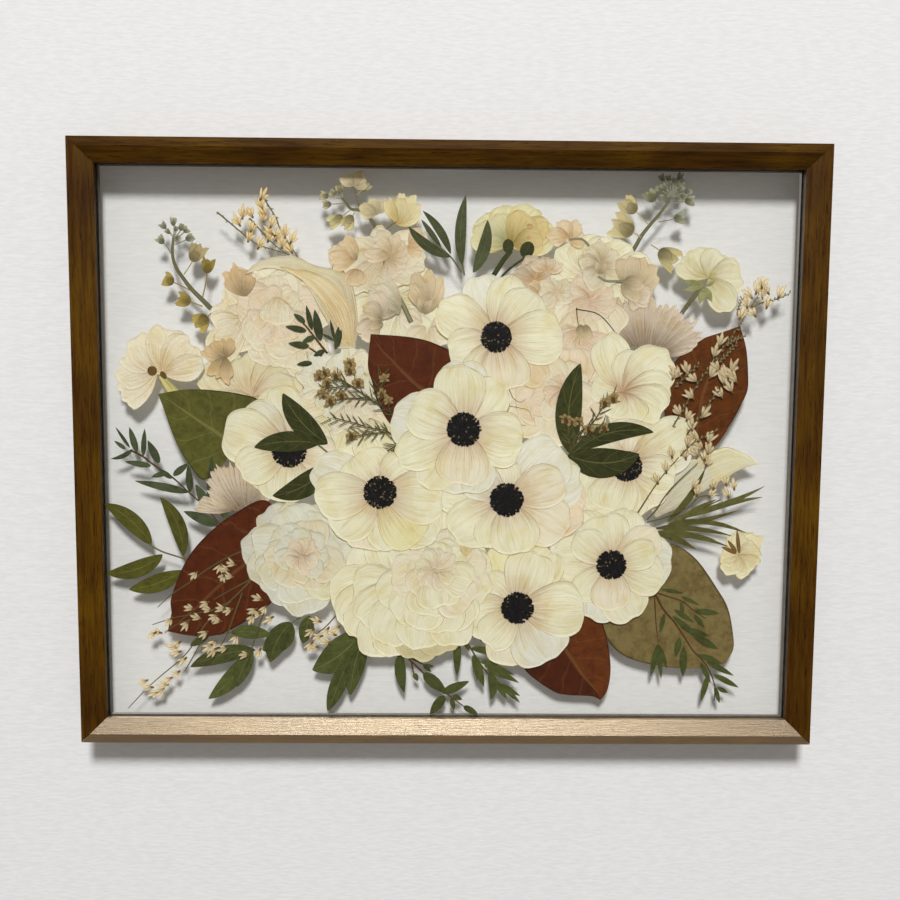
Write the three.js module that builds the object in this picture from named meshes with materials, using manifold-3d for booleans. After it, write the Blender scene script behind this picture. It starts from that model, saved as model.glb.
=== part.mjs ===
// Pressed flower frame: a floating double-glass frame with pressed flowers and leaves between the panes.
// Units are millimetres. The frame stands upright in the XZ plane, its front faces -Y and +Z is up.
// Depths named y are measured from the front of the rails backwards; the whole group is then centred.
import * as THREE from 'three';
import { mergeVertices } from 'three/addons/utils/BufferGeometryUtils.js';
import Module from 'manifold-3d';

// ---------------------------------------------------------------- driving dimensions
const GLASS_WIDTH = 508;
const GLASS_HEIGHT = 406.4;
const GLASS_THICKNESS = 2;
const SIGHT_WIDTH = 498;
const RAIL_WIDTH = 16;
const RAIL_FLAT = 6.1;
const BEVEL_DROP = 5.5;
const LIP_THICKNESS = 2.5;
const RAIL_DEPTH = 19;
const REBATE_CLEARANCE = 0.3;
const CAVITY = 3.7;
const SPACER_WIDTH = 3;
const BEAD_WIDTH = 3.4;
const FACE_GAP = 0.1;
const MITRE_GAP = 0.1;

const PRESSED_THICKNESS = 0.15;
const LAYER_PITCH = 0.21;
const SIDE_CLEARANCE = 0.6;

const HANGER_LENGTH = 46;
const HANGER_HEIGHT = 8;
const HANGER_THICKNESS = 1;
const TOOTH_DEPTH = 1.6;
const TOOTH_COUNT = 11;
const NAIL_SPACING = 38;
const NAIL_SHANK_RADIUS = 0.8;
const NAIL_HEAD_RADIUS = 2;
const NAIL_HEAD_HEIGHT = 1.1;
const NAIL_SHOULDER_RADIUS = 1.6;
const NAIL_SHOULDER_HEIGHT = 0.77;
const NAIL_LENGTH = 9;
const NAIL_TIP_LENGTH = 1;
const NAIL_SIDES = 10;

// ---------------------------------------------------------------- derived sizes
const LIP_OVERLAP = (GLASS_WIDTH - SIGHT_WIDTH) / 2;
const SIGHT_HEIGHT = GLASS_HEIGHT - 2 * LIP_OVERLAP;
const OUTER_WIDTH = SIGHT_WIDTH + 2 * RAIL_WIDTH;
const OUTER_HEIGHT = SIGHT_HEIGHT + 2 * RAIL_WIDTH;
const REBATE_DISTANCE = RAIL_WIDTH - LIP_OVERLAP - REBATE_CLEARANCE;

const lipBackY = BEVEL_DROP + LIP_THICKNESS;
const frontGlassY = lipBackY + FACE_GAP;
const cavityY = frontGlassY + GLASS_THICKNESS;
const backGlassY = cavityY + CAVITY;
const beadY = backGlassY + GLASS_THICKNESS + FACE_GAP;
const hangerY = RAIL_DEPTH + FACE_GAP;
const nailHeadY = hangerY + HANGER_THICKNESS + FACE_GAP;
const TOTAL_DEPTH = nailHeadY + NAIL_HEAD_HEIGHT;
const hangerZ = OUTER_HEIGHT / 2 - REBATE_DISTANCE / 2;

const wasm = await Module();
wasm.setup();

const frame = new THREE.Group();
frame.position.y = -TOTAL_DEPTH / 2;

// ---------------------------------------------------------------- materials
function material(color, roughness, metalness = 0) {
  return new THREE.MeshStandardMaterial({ color, roughness, metalness });
}

const COLOURS = {
  walnut: 0x5a4628,
  bead: 0x3a3632,
  spacer: 0x141210,
  steel: 0xb8b8b4,
  glass: 0xe8f0ea,
  white: 0xe8e0d0,
  blush: 0xdcc4ac,
  pink: 0xd0a08c,
  orange: 0xb8783c,
  cream: 0xd8c8a0,
  brown: 0x4a3018,
  redBrown: 0x6a3820,
  olive: 0x5c5020,
  green: 0x4a5028,
  paleGreen: 0x7c7844,
  straw: 0xb89850,
};

function addMesh(name, geometry, meshMaterial) {
  const mesh = new THREE.Mesh(geometry, meshMaterial);
  mesh.name = name;
  frame.add(mesh);
  return mesh;
}

// ---------------------------------------------------------------- joining and cutting
function toManifold(geometry) {
  const bare = geometry.clone();
  bare.deleteAttribute('normal');
  bare.deleteAttribute('uv');
  const merged = mergeVertices(bare);
  return new wasm.Manifold(new wasm.Mesh({
    numProp: 3,
    vertProperties: new Float32Array(merged.attributes.position.array),
    triVerts: new Uint32Array(merged.index.array),
  }));
}

function fromManifold(solid) {
  const mesh = solid.getMesh();
  const geometry = new THREE.BufferGeometry();
  geometry.setAttribute('position', new THREE.BufferAttribute(new Float32Array(mesh.vertProperties), 3));
  geometry.setIndex(new THREE.BufferAttribute(new Uint32Array(mesh.triVerts), 1));
  return geometry;
}

// ---------------------------------------------------------------- rails
/** Section of a rail as (distance inward from the outer edge, depth y). */
function railSection() {
  const section = new THREE.Shape();
  section.moveTo(0, 0);
  section.lineTo(RAIL_FLAT, 0);
  section.lineTo(RAIL_WIDTH, BEVEL_DROP);
  section.lineTo(RAIL_WIDTH, lipBackY);
  section.lineTo(REBATE_DISTANCE, lipBackY);
  section.lineTo(REBATE_DISTANCE, RAIL_DEPTH);
  section.lineTo(0, RAIL_DEPTH);
  section.closePath();
  return section;
}

/** A rail along X with its outer edge on z = 0: the section swept between two 45 degree mitres. */
function railGeometry(length) {
  const geometry = new THREE.ExtrudeGeometry(railSection(), { depth: 1, bevelEnabled: false });
  const position = geometry.attributes.position;
  for (let i = 0; i < position.count; i += 1) {
    const inward = position.getX(i);
    const side = position.getZ(i) > 0.5 ? -1 : 1;
    const reach = length / 2 - inward - MITRE_GAP;
    position.setXYZ(i, side * reach, position.getY(i), inward);
  }
  geometry.computeVertexNormals();
  return geometry;
}

function nailHole(x) {
  const radius = NAIL_SHANK_RADIUS + REBATE_CLEARANCE;
  const depth = NAIL_LENGTH + REBATE_CLEARANCE;
  const hole = new THREE.CylinderGeometry(radius, radius, depth, NAIL_SIDES);
  hole.translate(x, RAIL_DEPTH - depth / 2 + REBATE_CLEARANCE, REBATE_DISTANCE / 2);
  return hole;
}

function addRails() {
  const wood = COLOURS.walnut;
  const bottom = addMesh('rail_bottom', railGeometry(OUTER_WIDTH), material(wood, 0.5));
  bottom.position.z = -OUTER_HEIGHT / 2;

  let drilled = toManifold(railGeometry(OUTER_WIDTH));
  for (const side of [-1, 1]) {
    drilled = drilled.subtract(toManifold(nailHole(side * NAIL_SPACING / 2)));
  }
  const top = addMesh('rail_top', fromManifold(drilled), material(wood, 0.5));
  top.rotation.y = Math.PI;
  top.position.z = OUTER_HEIGHT / 2;

  const right = addMesh('rail_right', railGeometry(OUTER_HEIGHT), material(wood, 0.5));
  right.rotation.y = -Math.PI / 2;
  right.position.x = OUTER_WIDTH / 2;

  const left = addMesh('rail_left', railGeometry(OUTER_HEIGHT), material(wood, 0.5));
  left.rotation.y = Math.PI / 2;
  left.position.x = -OUTER_WIDTH / 2;
}

// ---------------------------------------------------------------- plates that face the front
/** Gives a flat outline in x and z a thickness, with its front face at depth y. */
function addPlate(name, shape, y, thickness, meshMaterial) {
  const geometry = new THREE.ExtrudeGeometry(shape, { depth: thickness, bevelEnabled: false });
  const plate = addMesh(name, geometry, meshMaterial);
  plate.rotation.x = Math.PI / 2;
  plate.position.y = y + thickness;
  return plate;
}

function rectangle(width, height, Kind = THREE.Shape) {
  const outline = new Kind();
  outline.moveTo(-width / 2, -height / 2);
  outline.lineTo(width / 2, -height / 2);
  outline.lineTo(width / 2, height / 2);
  outline.lineTo(-width / 2, height / 2);
  outline.closePath();
  return outline;
}

function ring(width, height, strip) {
  const outline = rectangle(width, height);
  outline.holes.push(rectangle(width - 2 * strip, height - 2 * strip, THREE.Path));
  return outline;
}

function addGlazing() {
  const pane = rectangle(GLASS_WIDTH, GLASS_HEIGHT);
  const glass = () => material(COLOURS.glass, 0.05);
  addPlate('front_glass', pane, frontGlassY, GLASS_THICKNESS, glass());
  addPlate('back_glass', pane, backGlassY, GLASS_THICKNESS, glass());

  const spacer = ring(GLASS_WIDTH, GLASS_HEIGHT, SPACER_WIDTH);
  addPlate('spacer', spacer, cavityY + FACE_GAP, CAVITY - 2 * FACE_GAP, material(COLOURS.spacer, 0.8));

  const bead = ring(GLASS_WIDTH, GLASS_HEIGHT, BEAD_WIDTH);
  addPlate('back_bead', bead, beadY, RAIL_DEPTH - beadY, material(COLOURS.bead, 0.6));
}

// ---------------------------------------------------------------- hanger
function hangerShape() {
  const shape = new THREE.Shape();
  const half = HANGER_LENGTH / 2;
  const toothed = NAIL_SPACING / 2 - NAIL_HEAD_RADIUS * 2;
  const pitch = 2 * toothed / TOOTH_COUNT;
  const low = -HANGER_HEIGHT / 2;
  shape.moveTo(-half, low);
  for (let tooth = 0; tooth < TOOTH_COUNT; tooth += 1) {
    const x = -toothed + tooth * pitch;
    shape.lineTo(x, low);
    shape.lineTo(x + pitch / 2, low + TOOTH_DEPTH);
  }
  shape.lineTo(toothed, low);
  shape.lineTo(half, low);
  shape.lineTo(half, -low);
  shape.lineTo(-half, -low);
  shape.closePath();
  for (const side of [-1, 1]) {
    const hole = new THREE.Path();
    hole.absarc(side * NAIL_SPACING / 2, 0, NAIL_SHANK_RADIUS + REBATE_CLEARANCE, 0, 2 * Math.PI, true);
    shape.holes.push(hole);
  }
  return shape;
}

function addHanger() {
  const geometry = new THREE.ExtrudeGeometry(hangerShape(), {
    depth: HANGER_THICKNESS, bevelEnabled: false, curveSegments: NAIL_SIDES,
  });
  const hanger = addMesh('sawtooth_hanger', geometry, material(COLOURS.steel, 0.4, 1));
  hanger.rotation.x = Math.PI / 2;
  hanger.position.set(0, hangerY + HANGER_THICKNESS, hangerZ);

  const profile = [
    [0, -NAIL_LENGTH],
    [NAIL_SHANK_RADIUS, NAIL_TIP_LENGTH - NAIL_LENGTH],
    [NAIL_SHANK_RADIUS, 0],
    [NAIL_HEAD_RADIUS, 0],
    [NAIL_SHOULDER_RADIUS, NAIL_SHOULDER_HEIGHT],
    [0, NAIL_HEAD_HEIGHT],
  ].map(([radius, height]) => new THREE.Vector2(radius, height));
  for (const [name, side] of [['hanger_nail_left', -1], ['hanger_nail_right', 1]]) {
    const nail = addMesh(name, new THREE.LatheGeometry(profile, NAIL_SIDES), material(COLOURS.steel, 0.4, 1));
    nail.position.set(side * NAIL_SPACING / 2, nailHeadY, hangerZ);
  }
}

// ---------------------------------------------------------------- outlines of pressed pieces
/** A smooth closed outline through hand-placed [x, z] points. */
function smooth(points, perSide = 2) {
  const knots = points.map(([x, z]) => new THREE.Vector3(x, z, 0));
  const curve = new THREE.CatmullRomCurve3(knots, true, 'centripetal');
  return curve.getPoints(points.length * perSide).slice(0, -1).map(({ x, y }) => [x, y]);
}

/** A closed outline with straight sides between the tips of a sprig. */
function tips(points) {
  return points;
}

// A petal's edge falls to nothing at PETAL_SPREAD times the angle that its half width subtends at
// PETAL_WAIST of its reach; between petals the outline stays at HEART_SHARE of the nearest reach.
const PETAL_SPREAD = 1.35;
const PETAL_WAIST = 0.65;
const HEART_SHARE = 0.45;
const FLOWER_STEPS = 44;

/**
 * The outer edge of a flower of overlapping petals about [x, z]. Each petal is
 * [direction in degrees, reach, width]; the edge is the farthest petal in every direction.
 */
function flower([x, z], petals, steps = FLOWER_STEPS) {
  const outline = [];
  for (let step = 0; step < steps; step += 1) {
    const angle = 2 * Math.PI * step / steps;
    let radius = 0;
    for (const [direction, reach, width] of petals) {
      const turn = Math.abs(Math.atan2(
        Math.sin(angle - direction * Math.PI / 180),
        Math.cos(angle - direction * Math.PI / 180),
      ));
      const spread = PETAL_SPREAD * Math.atan(0.5 * width / (PETAL_WAIST * reach));
      const lobe = turn < spread ? Math.sqrt(Math.cos(0.5 * Math.PI * turn / spread)) : 0;
      radius = Math.max(radius, reach * lobe, reach * HEART_SHARE);
    }
    outline.push([x + radius * Math.cos(angle), z + radius * Math.sin(angle)]);
  }
  return outline;
}

// Pressed pieces from the back of the cavity to the front: name, colour, outline.
const PRESSED = [
  ['magnolia_leaf_olive', 'olive', smooth([[152, -64], [173, -73], [191, -91], [204, -109], [211, -134],
    [214, -164], [218, -177], [209, -182], [196, -189], [180, -172], [152, -170], [137, -156],
    [121, -145], [113, -126], [125, -90]])],
  ['magnolia_leaf_red', 'redBrown', smooth([[114, -187], [89, -183], [67, -173], [53, -157], [56, -140],
    [70, -120], [99, -113], [114, -128], [121, -155], [119, -179]])],
  ['magnolia_leaf_right', 'brown', smooth([[209, 90], [214, 71], [216, 44], [206, 22], [190, 0], [165, 5],
    [156, 21], [156, 53], [181, 80]])],
  ['larkspur_left', 'blush', tips([[-209, 146], [-207, 160], [-196, 165], [-186, 157], [-173, 146],
    [-167, 132], [-170, 105], [-170, 82], [-187, 84], [-197, 103], [-207, 119], [-203, 135]])],
  ['larkspur_centre', 'cream', tips([[-93, 180], [-78, 186], [-77, 197], [-61, 198], [-52, 188],
    [-36, 183], [-23, 176], [-28, 162], [-40, 155], [-51, 148], [-60, 160], [-75, 156], [-86, 162],
    [-83, 172]])],
  ['larkspur_right', 'cream', tips([[114, 160], [116, 172], [127, 181], [140, 190], [150, 197],
    [166, 199], [175, 190], [172, 174], [166, 160], [168, 145], [160, 130], [145, 132], [122, 136]])],
  ['genista_top_left', 'straw', tips([[-170, 167], [-148, 170], [-137, 181], [-128, 176], [-122, 160],
    [-108, 150], [-107, 134], [-120, 136], [-140, 142], [-155, 155]])],
  ['lance_leaves', 'olive', tips([[-34, 162], [-21, 171], [-8, 150], [3, 150], [9, 181], [15, 160],
    [27, 166], [24, 130], [14, 122], [4, 128], [-4, 134], [-20, 148]])],
  ['ruscus_left', 'olive', tips([[-250, -42], [-238, -53], [-217, -66], [-211, -36], [-198, -52],
    [-192, -80], [-192, -94], [-222, -104], [-234, -106], [-226, -97], [-250, -94], [-232, -80],
    [-222, -73], [-236, -56]])],
  ['ruscus_bottom_left', 'green', tips([[-160, -134], [-132, -134], [-115, -124], [-100, -122],
    [-85, -133], [-62, -130], [-57, -142], [-62, -160], [-70, -186], [-90, -197], [-99, -168],
    [-108, -146], [-130, -161], [-152, -180], [-178, -187], [-190, -163], [-172, -152]])],
  ['sprig_bottom_left', 'green', tips([[-38, -150], [-20, -144], [-4, -147], [-6, -162], [17, -172],
    [12, -183], [24, -199], [5, -197], [-14, -199], [-20, -184], [-33, -183], [-34, -168]])],
  ['sprig_bottom_right', 'green', tips([[9, -130], [40, -125], [38, -136], [34, -146], [49, -157],
    [50, -168], [55, -175], [55, -190], [31, -188], [22, -178], [6, -170], [6, -150]])],
  ['back_flower_left', 'white', smooth([[-178, 60], [-186, 80], [-200, 85], [-218, 80], [-231, 71],
    [-238, 49], [-238, 33], [-231, 26], [-221, 30], [-212, 44], [-199, 53]])],
  ['back_flower_right', 'white', smooth([[162, 135], [171, 143], [189, 144], [204, 134], [209, 118],
    [203, 103], [194, 104], [180, 102], [166, 97], [166, 113]])],
  ['dried_flower', 'orange', smooth([[212, -56], [220, -60], [228.5, -68], [226, -80], [222, -92],
    [208, -92], [201, -82], [206, -70], [200, -58]])],
  ['ranunculus', 'cream', smooth([[12, 149], [16, 158], [28, 170], [41, 173], [55, 172], [67, 164],
    [74, 153], [62, 140], [50, 132], [38, 118], [28, 118], [35, 134], [23, 146]])],
  ['white_petals_right', 'white', smooth([[72, 122], [78, 142], [95, 153], [112, 152], [130, 142],
    [146, 130], [145, 112], [125, 103], [100, 100], [80, 103]])],
  ['white_flower_upper', 'white', smooth([[-76, 106], [-70, 126], [-50, 137], [-25, 133], [-8, 115],
    [5, 95], [4, 76], [-15, 72], [-40, 70], [-62, 80]])],
  ['veined_flower', 'blush', smooth([[-179, 55], [-170, 70], [-142, 67], [-120, 62], [-110, 45],
    [-114, 20], [-130, 8], [-155, 8], [-172, 25]])],
  ['magnolia_leaf_green', 'green', smooth([[-210, 38], [-193, 41], [-161, 40], [-138, 34], [-130, 15],
    [-140, -10], [-160, -20], [-178, -24], [-189, -12], [-201, 12]])],
  ['willow_left', 'paleGreen', tips([[-246, -9], [-242, 15], [-231, 15], [-219, 14], [-208, 0],
    [-196, -14], [-189, -10], [-184, -26], [-172, -6], [-166, -30], [-160, -52], [-168, -60],
    [-193, -50], [-210, -30], [-236, -14]])],
  ['crumpled_rose', 'blush', smooth([[-170, 96], [-163, 120], [-140, 127], [-115, 123], [-95, 112],
    [-88, 92], [-96, 72], [-118, 62], [-145, 66], [-163, 78]])],
  ['calla_left', 'cream', smooth([[-147, 123], [-140, 130], [-129, 137], [-114, 138], [-96, 131],
    [-81, 127], [-71, 119], [-72, 98], [-68, 74], [-80, 72], [-90, 95], [-102, 114], [-122, 128]])],
  ['calla_right', 'cream', smooth([[236, -8], [217, -2], [199, 3], [186, -3], [162, -1], [148, -26],
    [136, -47], [146, -56], [160, -54], [180, -43], [204, -36], [214, -26], [220, -14]])],
  ['willow_right', 'paleGreen', tips([[187, -13], [196, -36], [232, -25], [231, -36], [220, -62],
    [208, -64], [207, -72], [183, -74], [147, -62], [147, -56], [165, -46], [176, -30]])],
  ['scabiosa_left', 'white', smooth([[-172, -18], [-166, -14], [-149, -12], [-133, -12], [-123, -17],
    [-128, -30], [-140, -40], [-150, -48], [-168, -56], [-188, -54], [-188, -42], [-171, -34]])],
  ['scabiosa_right', 'white', smooth([[129, 77], [118, 92], [113, 105], [125, 110], [137, 108],
    [152, 104], [168, 96], [180, 82], [171, 73], [152, 64]])],
  ['magnolia_leaf_left', 'brown', smooth([[-206, -136], [-203, -111], [-185, -73], [-166, -56],
    [-133, -38.5], [-120, -60], [-122, -90], [-139, -121], [-155, -132], [-186, -139]])],
  ['genista_bottom_left', 'straw', tips([[-132, -110], [-146, -74], [-165, -80], [-190, -88],
    [-214, -117], [-220, -136], [-209, -150], [-226, -172], [-240, -196], [-222, -186], [-196, -168],
    [-176, -165], [-148, -165], [-130, -152], [-84, -147], [-79, -132], [-100, -131]])],
  ['crinkled_flower', 'white', smooth([[-110, 45], [-100, 65], [-80, 72], [-58, 68], [-42, 52],
    [-31, 26], [-30, -6], [-50, -10], [-72, -12], [-95, -2], [-108, 20]])],
  ['magnolia_leaf_dark', 'brown', smooth([[-57, 82], [-33, 80.5], [-7, 74], [15, 62], [10, 40], [-5, 20],
    [-25, 8], [-41, 15.6], [-52, 33], [-59, 57]])],
  ['stock_left', 'pink', tips([[-88, 136], [-76, 144], [-66, 151], [-40, 152], [-18, 140], [-9, 124],
    [-10, 98], [-26, 90], [-48, 88], [-69, 80], [-70, 112]])],
  ['stock_right', 'pink', tips([[45, 136], [44, 110], [58, 102], [80, 96], [78, 66], [100, 62],
    [117, 80], [122, 100], [146, 105], [146, 136], [124, 150], [104, 152], [84, 156], [80, 148],
    [95, 138], [88, 126], [70, 132], [60, 137]])],
  ['garden_rose', 'pink', smooth([[33, 30], [40, 52], [60, 66], [80, 68], [100, 62], [115, 44],
    [114, 24], [100, 10], [80, 3], [55, 6], [38, 16]])],
  ['anemone_side', 'white', flower([125.6, 41.7],
    [[111, 43, 26], [47, 38, 30], [5, 36, 30], [300, 32, 40]], 32)],
  ['anemone_left', 'white', flower([-116, -1.5],
    [[103, 46, 32], [163, 49, 40], [265, 38, 34], [352, 34, 24], [220, 36, 30]])],
  ['anemone_right', 'white', flower([129.5, -12],
    [[33, 55, 32], [8, 43, 30], [254, 36, 48], [220, 41, 34], [297, 36, 30], [80, 34, 40]])],
  ['anemone_bottom_right', 'white', flower([119.5, -84.5],
    [[101, 38, 34], [75, 42, 30], [35, 41, 26], [3, 44, 40], [344, 40, 34], [292, 44, 32],
      [252, 44, 30], [180, 37, 36]])],
  ['anemone_bottom', 'white', flower([51, -117],
    [[73, 44, 36], [105, 42, 28], [359, 49, 40], [302, 47, 38], [257, 44, 30], [195, 40, 32],
      [144, 34, 26]])],
  ['ruscus_centre', 'green', tips([[-120, 39], [-103, 31], [-88, 10], [-83, -8], [-94, -32],
    [-116, -37], [-129, -35], [-112, -24], [-104, -8], [-119, -6], [-141, 0], [-122, 12], [-107, 12],
    [-117, 28]])],
  ['ruscus_right', 'green', tips([[94, 62], [86, 50], [77, 36], [76, 20], [80, 5], [86, -6],
    [97, -23], [116, -19], [138, -3], [149, 13], [125, 16], [123, 41], [112, 42], [98, 30]])],
  ['translucent_rose', 'blush', smooth([[-134, -39], [-133, -50], [-149, -68], [-149, -87], [-138, -106],
    [-127, -112], [-108, -123], [-98, -122], [-88, -113], [-78, -94], [-67, -73], [-70, -58],
    [-88, -45], [-95, -39]])],
  ['blush_rose', 'blush', smooth([[-84, -112], [-79, -123], [-71, -131], [-72, -138], [-61, -151],
    [-49, -154], [-35, -150], [-27, -156], [-13, -154], [1, -149], [11, -132], [22, -115], [31, -95],
    [30, -78], [20, -64], [0, -60], [-30, -62], [-60, -72], [-78, -90]])],
  ['anemone_centre_right', 'white', flower([42, -37],
    [[44, 55, 42], [20, 57, 34], [352, 58, 40], [330, 49, 30], [282, 40, 38], [214, 47, 34],
      [177, 49, 24]])],
  ['anemone_centre_left', 'white', flower([-50, -32],
    [[157, 51, 34], [185, 47, 32], [254, 44, 30], [287, 43, 34], [320, 52, 34], [0, 46, 38],
      [125, 32, 40], [40, 32, 30]])],
  ['anemone_top', 'white', flower([33, 80.5],
    [[107, 46, 26], [153, 46, 30], [200, 34, 26], [247, 40, 28], [278, 39, 36], [318, 48, 20],
      [0, 48, 38], [58, 44, 32]])],
  ['anemone_centre', 'white', flower([10.5, 14],
    [[95, 49, 36], [157, 42, 34], [170, 52, 40], [204, 53, 28], [235, 53, 26], [270, 47, 44],
      [336, 44, 28], [352, 42, 30], [54, 42, 30]])],
  ['genista_right', 'straw', tips([[158, 55], [164, 42], [172, 30], [160, 26], [165, 12], [175, -1],
    [195, 2], [194, 15], [204, 40], [210, 55], [200, 66], [214, 85], [230, 100], [246, 112],
    [242, 118], [222, 120], [206, 110], [196, 92], [188, 74], [170, 62]])],
  ['sprig_upper_left', 'paleGreen', tips([[-119, 88], [-104, 104], [-97, 101], [-78, 90], [-79, 70],
    [-90, 62], [-111, 59], [-117, 76]])],
];

// ---------------------------------------------------------------- stacking in the cavity
function insideOutline([x, z], outline) {
  let inside = false;
  outline.forEach(([ax, az], i) => {
    const [bx, bz] = outline[(i + 1) % outline.length];
    if ((az > z) !== (bz > z) && x < ax + (z - az) * (bx - ax) / (bz - az)) {
      inside = !inside;
    }
  });
  return inside;
}

function distanceToOutline([x, z], outline) {
  let nearest = Infinity;
  outline.forEach(([ax, az], i) => {
    const [bx, bz] = outline[(i + 1) % outline.length];
    const along = ((x - ax) * (bx - ax) + (z - az) * (bz - az)) / ((bx - ax) ** 2 + (bz - az) ** 2);
    const share = Math.min(1, Math.max(0, along));
    nearest = Math.min(nearest, Math.hypot(x - ax - share * (bx - ax), z - az - share * (bz - az)));
  });
  return nearest;
}

/** Points every millimetre or so along an outline, so that a crossing edge is never missed. */
function walk(outline) {
  return outline.flatMap(([ax, az], i) => {
    const [bx, bz] = outline[(i + 1) % outline.length];
    const count = Math.ceil(Math.hypot(bx - ax, bz - az));
    return Array.from({ length: count }, (_, k) => [ax + (bx - ax) * k / count, az + (bz - az) * k / count]);
  });
}

function touches(first, second) {
  const near = (point) => insideOutline(point, second) || distanceToOutline(point, second) < SIDE_CLEARANCE;
  return walk(first).some(near) || insideOutline(second[0], first);
}

/** Lays each piece on the lowest layer above every earlier piece that it crosses. */
function addPressedPieces() {
  const placed = [];
  for (const [name, colour, outline] of PRESSED) {
    const below = placed.filter((other) => touches(outline, other.outline)).map(({ layer }) => layer);
    const layer = Math.max(-1, ...below) + 1;
    placed.push({ outline, layer });
    const shape = new THREE.Shape(outline.map(([x, z]) => new THREE.Vector2(x, z)));
    const y = backGlassY - FACE_GAP - PRESSED_THICKNESS - layer * LAYER_PITCH;
    if (y < cavityY + FACE_GAP) {
      throw new Error(`${name} is above the cavity`);
    }
    addPlate(name, shape, y, PRESSED_THICKNESS, material(COLOURS[colour], 0.8));
  }
}

addRails();
addGlazing();
addHanger();
addPressedPieces();

export default frame;
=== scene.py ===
# %% [markdown]
# # Pressed flower frame
# A floating wooden frame holds two panes, and between them lie pressed anemones, roses, leaves and
# sprigs. The rails, panes and hanger are shown as they were constructed. Each pressed specimen is one
# plate there. Petals could be cut out of that plate, but it has a single outline, so here every petal,
# leaflet, stem and blossom is laid as a sheet of its own at the depth of its plate. All places are in
# millimetres as seen from the front: x to the right, z up.

import bpy
import numpy as np
from mathutils import Matrix, Vector


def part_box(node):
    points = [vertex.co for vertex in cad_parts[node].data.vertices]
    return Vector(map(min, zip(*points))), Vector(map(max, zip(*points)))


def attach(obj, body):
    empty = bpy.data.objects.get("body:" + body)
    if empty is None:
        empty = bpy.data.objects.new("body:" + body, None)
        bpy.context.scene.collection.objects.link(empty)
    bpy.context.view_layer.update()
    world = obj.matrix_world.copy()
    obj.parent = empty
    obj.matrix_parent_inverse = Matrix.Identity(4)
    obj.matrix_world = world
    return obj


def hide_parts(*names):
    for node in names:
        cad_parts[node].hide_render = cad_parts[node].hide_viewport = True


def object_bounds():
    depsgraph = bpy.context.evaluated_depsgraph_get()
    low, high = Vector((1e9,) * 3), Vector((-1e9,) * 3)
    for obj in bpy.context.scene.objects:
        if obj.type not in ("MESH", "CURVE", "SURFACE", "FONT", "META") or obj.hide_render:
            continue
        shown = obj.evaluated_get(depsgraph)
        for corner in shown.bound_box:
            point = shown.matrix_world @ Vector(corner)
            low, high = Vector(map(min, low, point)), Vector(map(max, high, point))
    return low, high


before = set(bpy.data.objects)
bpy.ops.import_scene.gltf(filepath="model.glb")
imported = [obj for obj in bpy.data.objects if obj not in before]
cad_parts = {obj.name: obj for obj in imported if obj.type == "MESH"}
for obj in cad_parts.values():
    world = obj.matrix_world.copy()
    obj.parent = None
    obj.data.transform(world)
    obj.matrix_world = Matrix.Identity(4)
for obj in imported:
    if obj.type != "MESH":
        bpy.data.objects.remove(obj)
cad_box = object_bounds()

MM = 0.001
dice = np.random.default_rng(7)
print("nodes:", len(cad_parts), "cad box:", [round(v, 4) for v in (*cad_box[0], *cad_box[1])])


# %% [markdown]
# ## Colours
# Dried tissue has lost most of its pigment, so almost everything is a cream, tan or olive. Colours are
# given as they look, 0 to 255, and turned into the linear values that light works with.

# %%
# Colour helpers
def rgb(red, green, blue):
    """The linear colour for a display colour: each channel over 255, to the power 2.2."""
    return np.array([red, green, blue], float).clip(0, 255) ** 2.2 / 255**2.2


CREAM = rgb(255, 254, 225)
IVORY = rgb(255, 249, 224)
GREY_WHITE = rgb(251, 253, 238)
YELLOW_CREAM = rgb(253, 249, 200)
BLUSH = rgb(255, 241, 216)
PINK = rgb(250, 226, 204)
PEACH = rgb(250, 232, 196)
AMBER = rgb(224, 190, 134)
STREAK = rgb(214, 172, 144)
BROWN = rgb(96, 44, 0)
RED_BROWN = rgb(106, 58, 8)
GREEN = rgb(102, 104, 48)
DARK_GREEN = rgb(66, 72, 34)
LEAF_GREEN = rgb(88, 98, 52)
OLIVE = rgb(136, 122, 78)
OLIVE_GREEN = rgb(92, 94, 36)
GREY_GREEN = rgb(150, 150, 122)
BUD_BASE = rgb(104, 110, 80)
STEM = rgb(118, 116, 84)
DARK_STEM = rgb(70, 62, 42)
TWIG = rgb(92, 66, 40)
BLOSSOM = rgb(255, 238, 196)
CALYX = rgb(150, 120, 66)
EDGE_BROWN_AND_SHADOW = rgb(150, 122, 80)
POLLEN = rgb(124, 110, 84)
FILAMENT = rgb(40, 36, 40)
BLACK = rgb(14, 14, 18)
print("cream is", CREAM.round(2))

# %% [markdown]
# ## Sheets
# Everything pressed is a sheet a fraction of a millimetre thick. It could be a thin solid, but nobody
# sees its thickness, and a single sheet lets light through. A sheet is a grid of points: one parameter
# runs along it from base to tip, the other across it from edge to edge. A specimen gathers its sheets,
# each laid a hair in front of the one before, and becomes one mesh. A specimen with more sheets than
# its layer of the cavity holds lays the rest in turn in the foremost places.

# %%
# Curves
def curve(points, count):
    """Count points on a smooth curve through the given ones: a uniform Catmull-Rom spline."""
    p = np.asarray(points, float)
    p = np.vstack([2 * p[0] - p[1], p, 2 * p[-1] - p[-2]])
    place = np.linspace(0, len(p) - 3 - 1e-9, count)
    i = place.astype(int)
    t = (place - i)[:, None]
    a, b, c, d = p[i], p[i + 1], p[i + 2], p[i + 3]
    return 0.5 * (2 * b + (c - a) * t + (2 * a - 5 * b + 4 * c - d) * t**2 + (3 * b - a - 3 * c + d) * t**3)


def even(points, count):
    """Count points at equal distances along the smooth curve through the given ones."""
    fine = curve(points, 40 * len(points))
    run = np.concatenate([[0], np.cumsum(np.hypot(*np.diff(fine, axis=0).T))])
    want = np.linspace(0, run[-1], count)
    return np.column_stack([np.interp(want, run, fine[:, k]) for k in (0, 1)])


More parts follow.
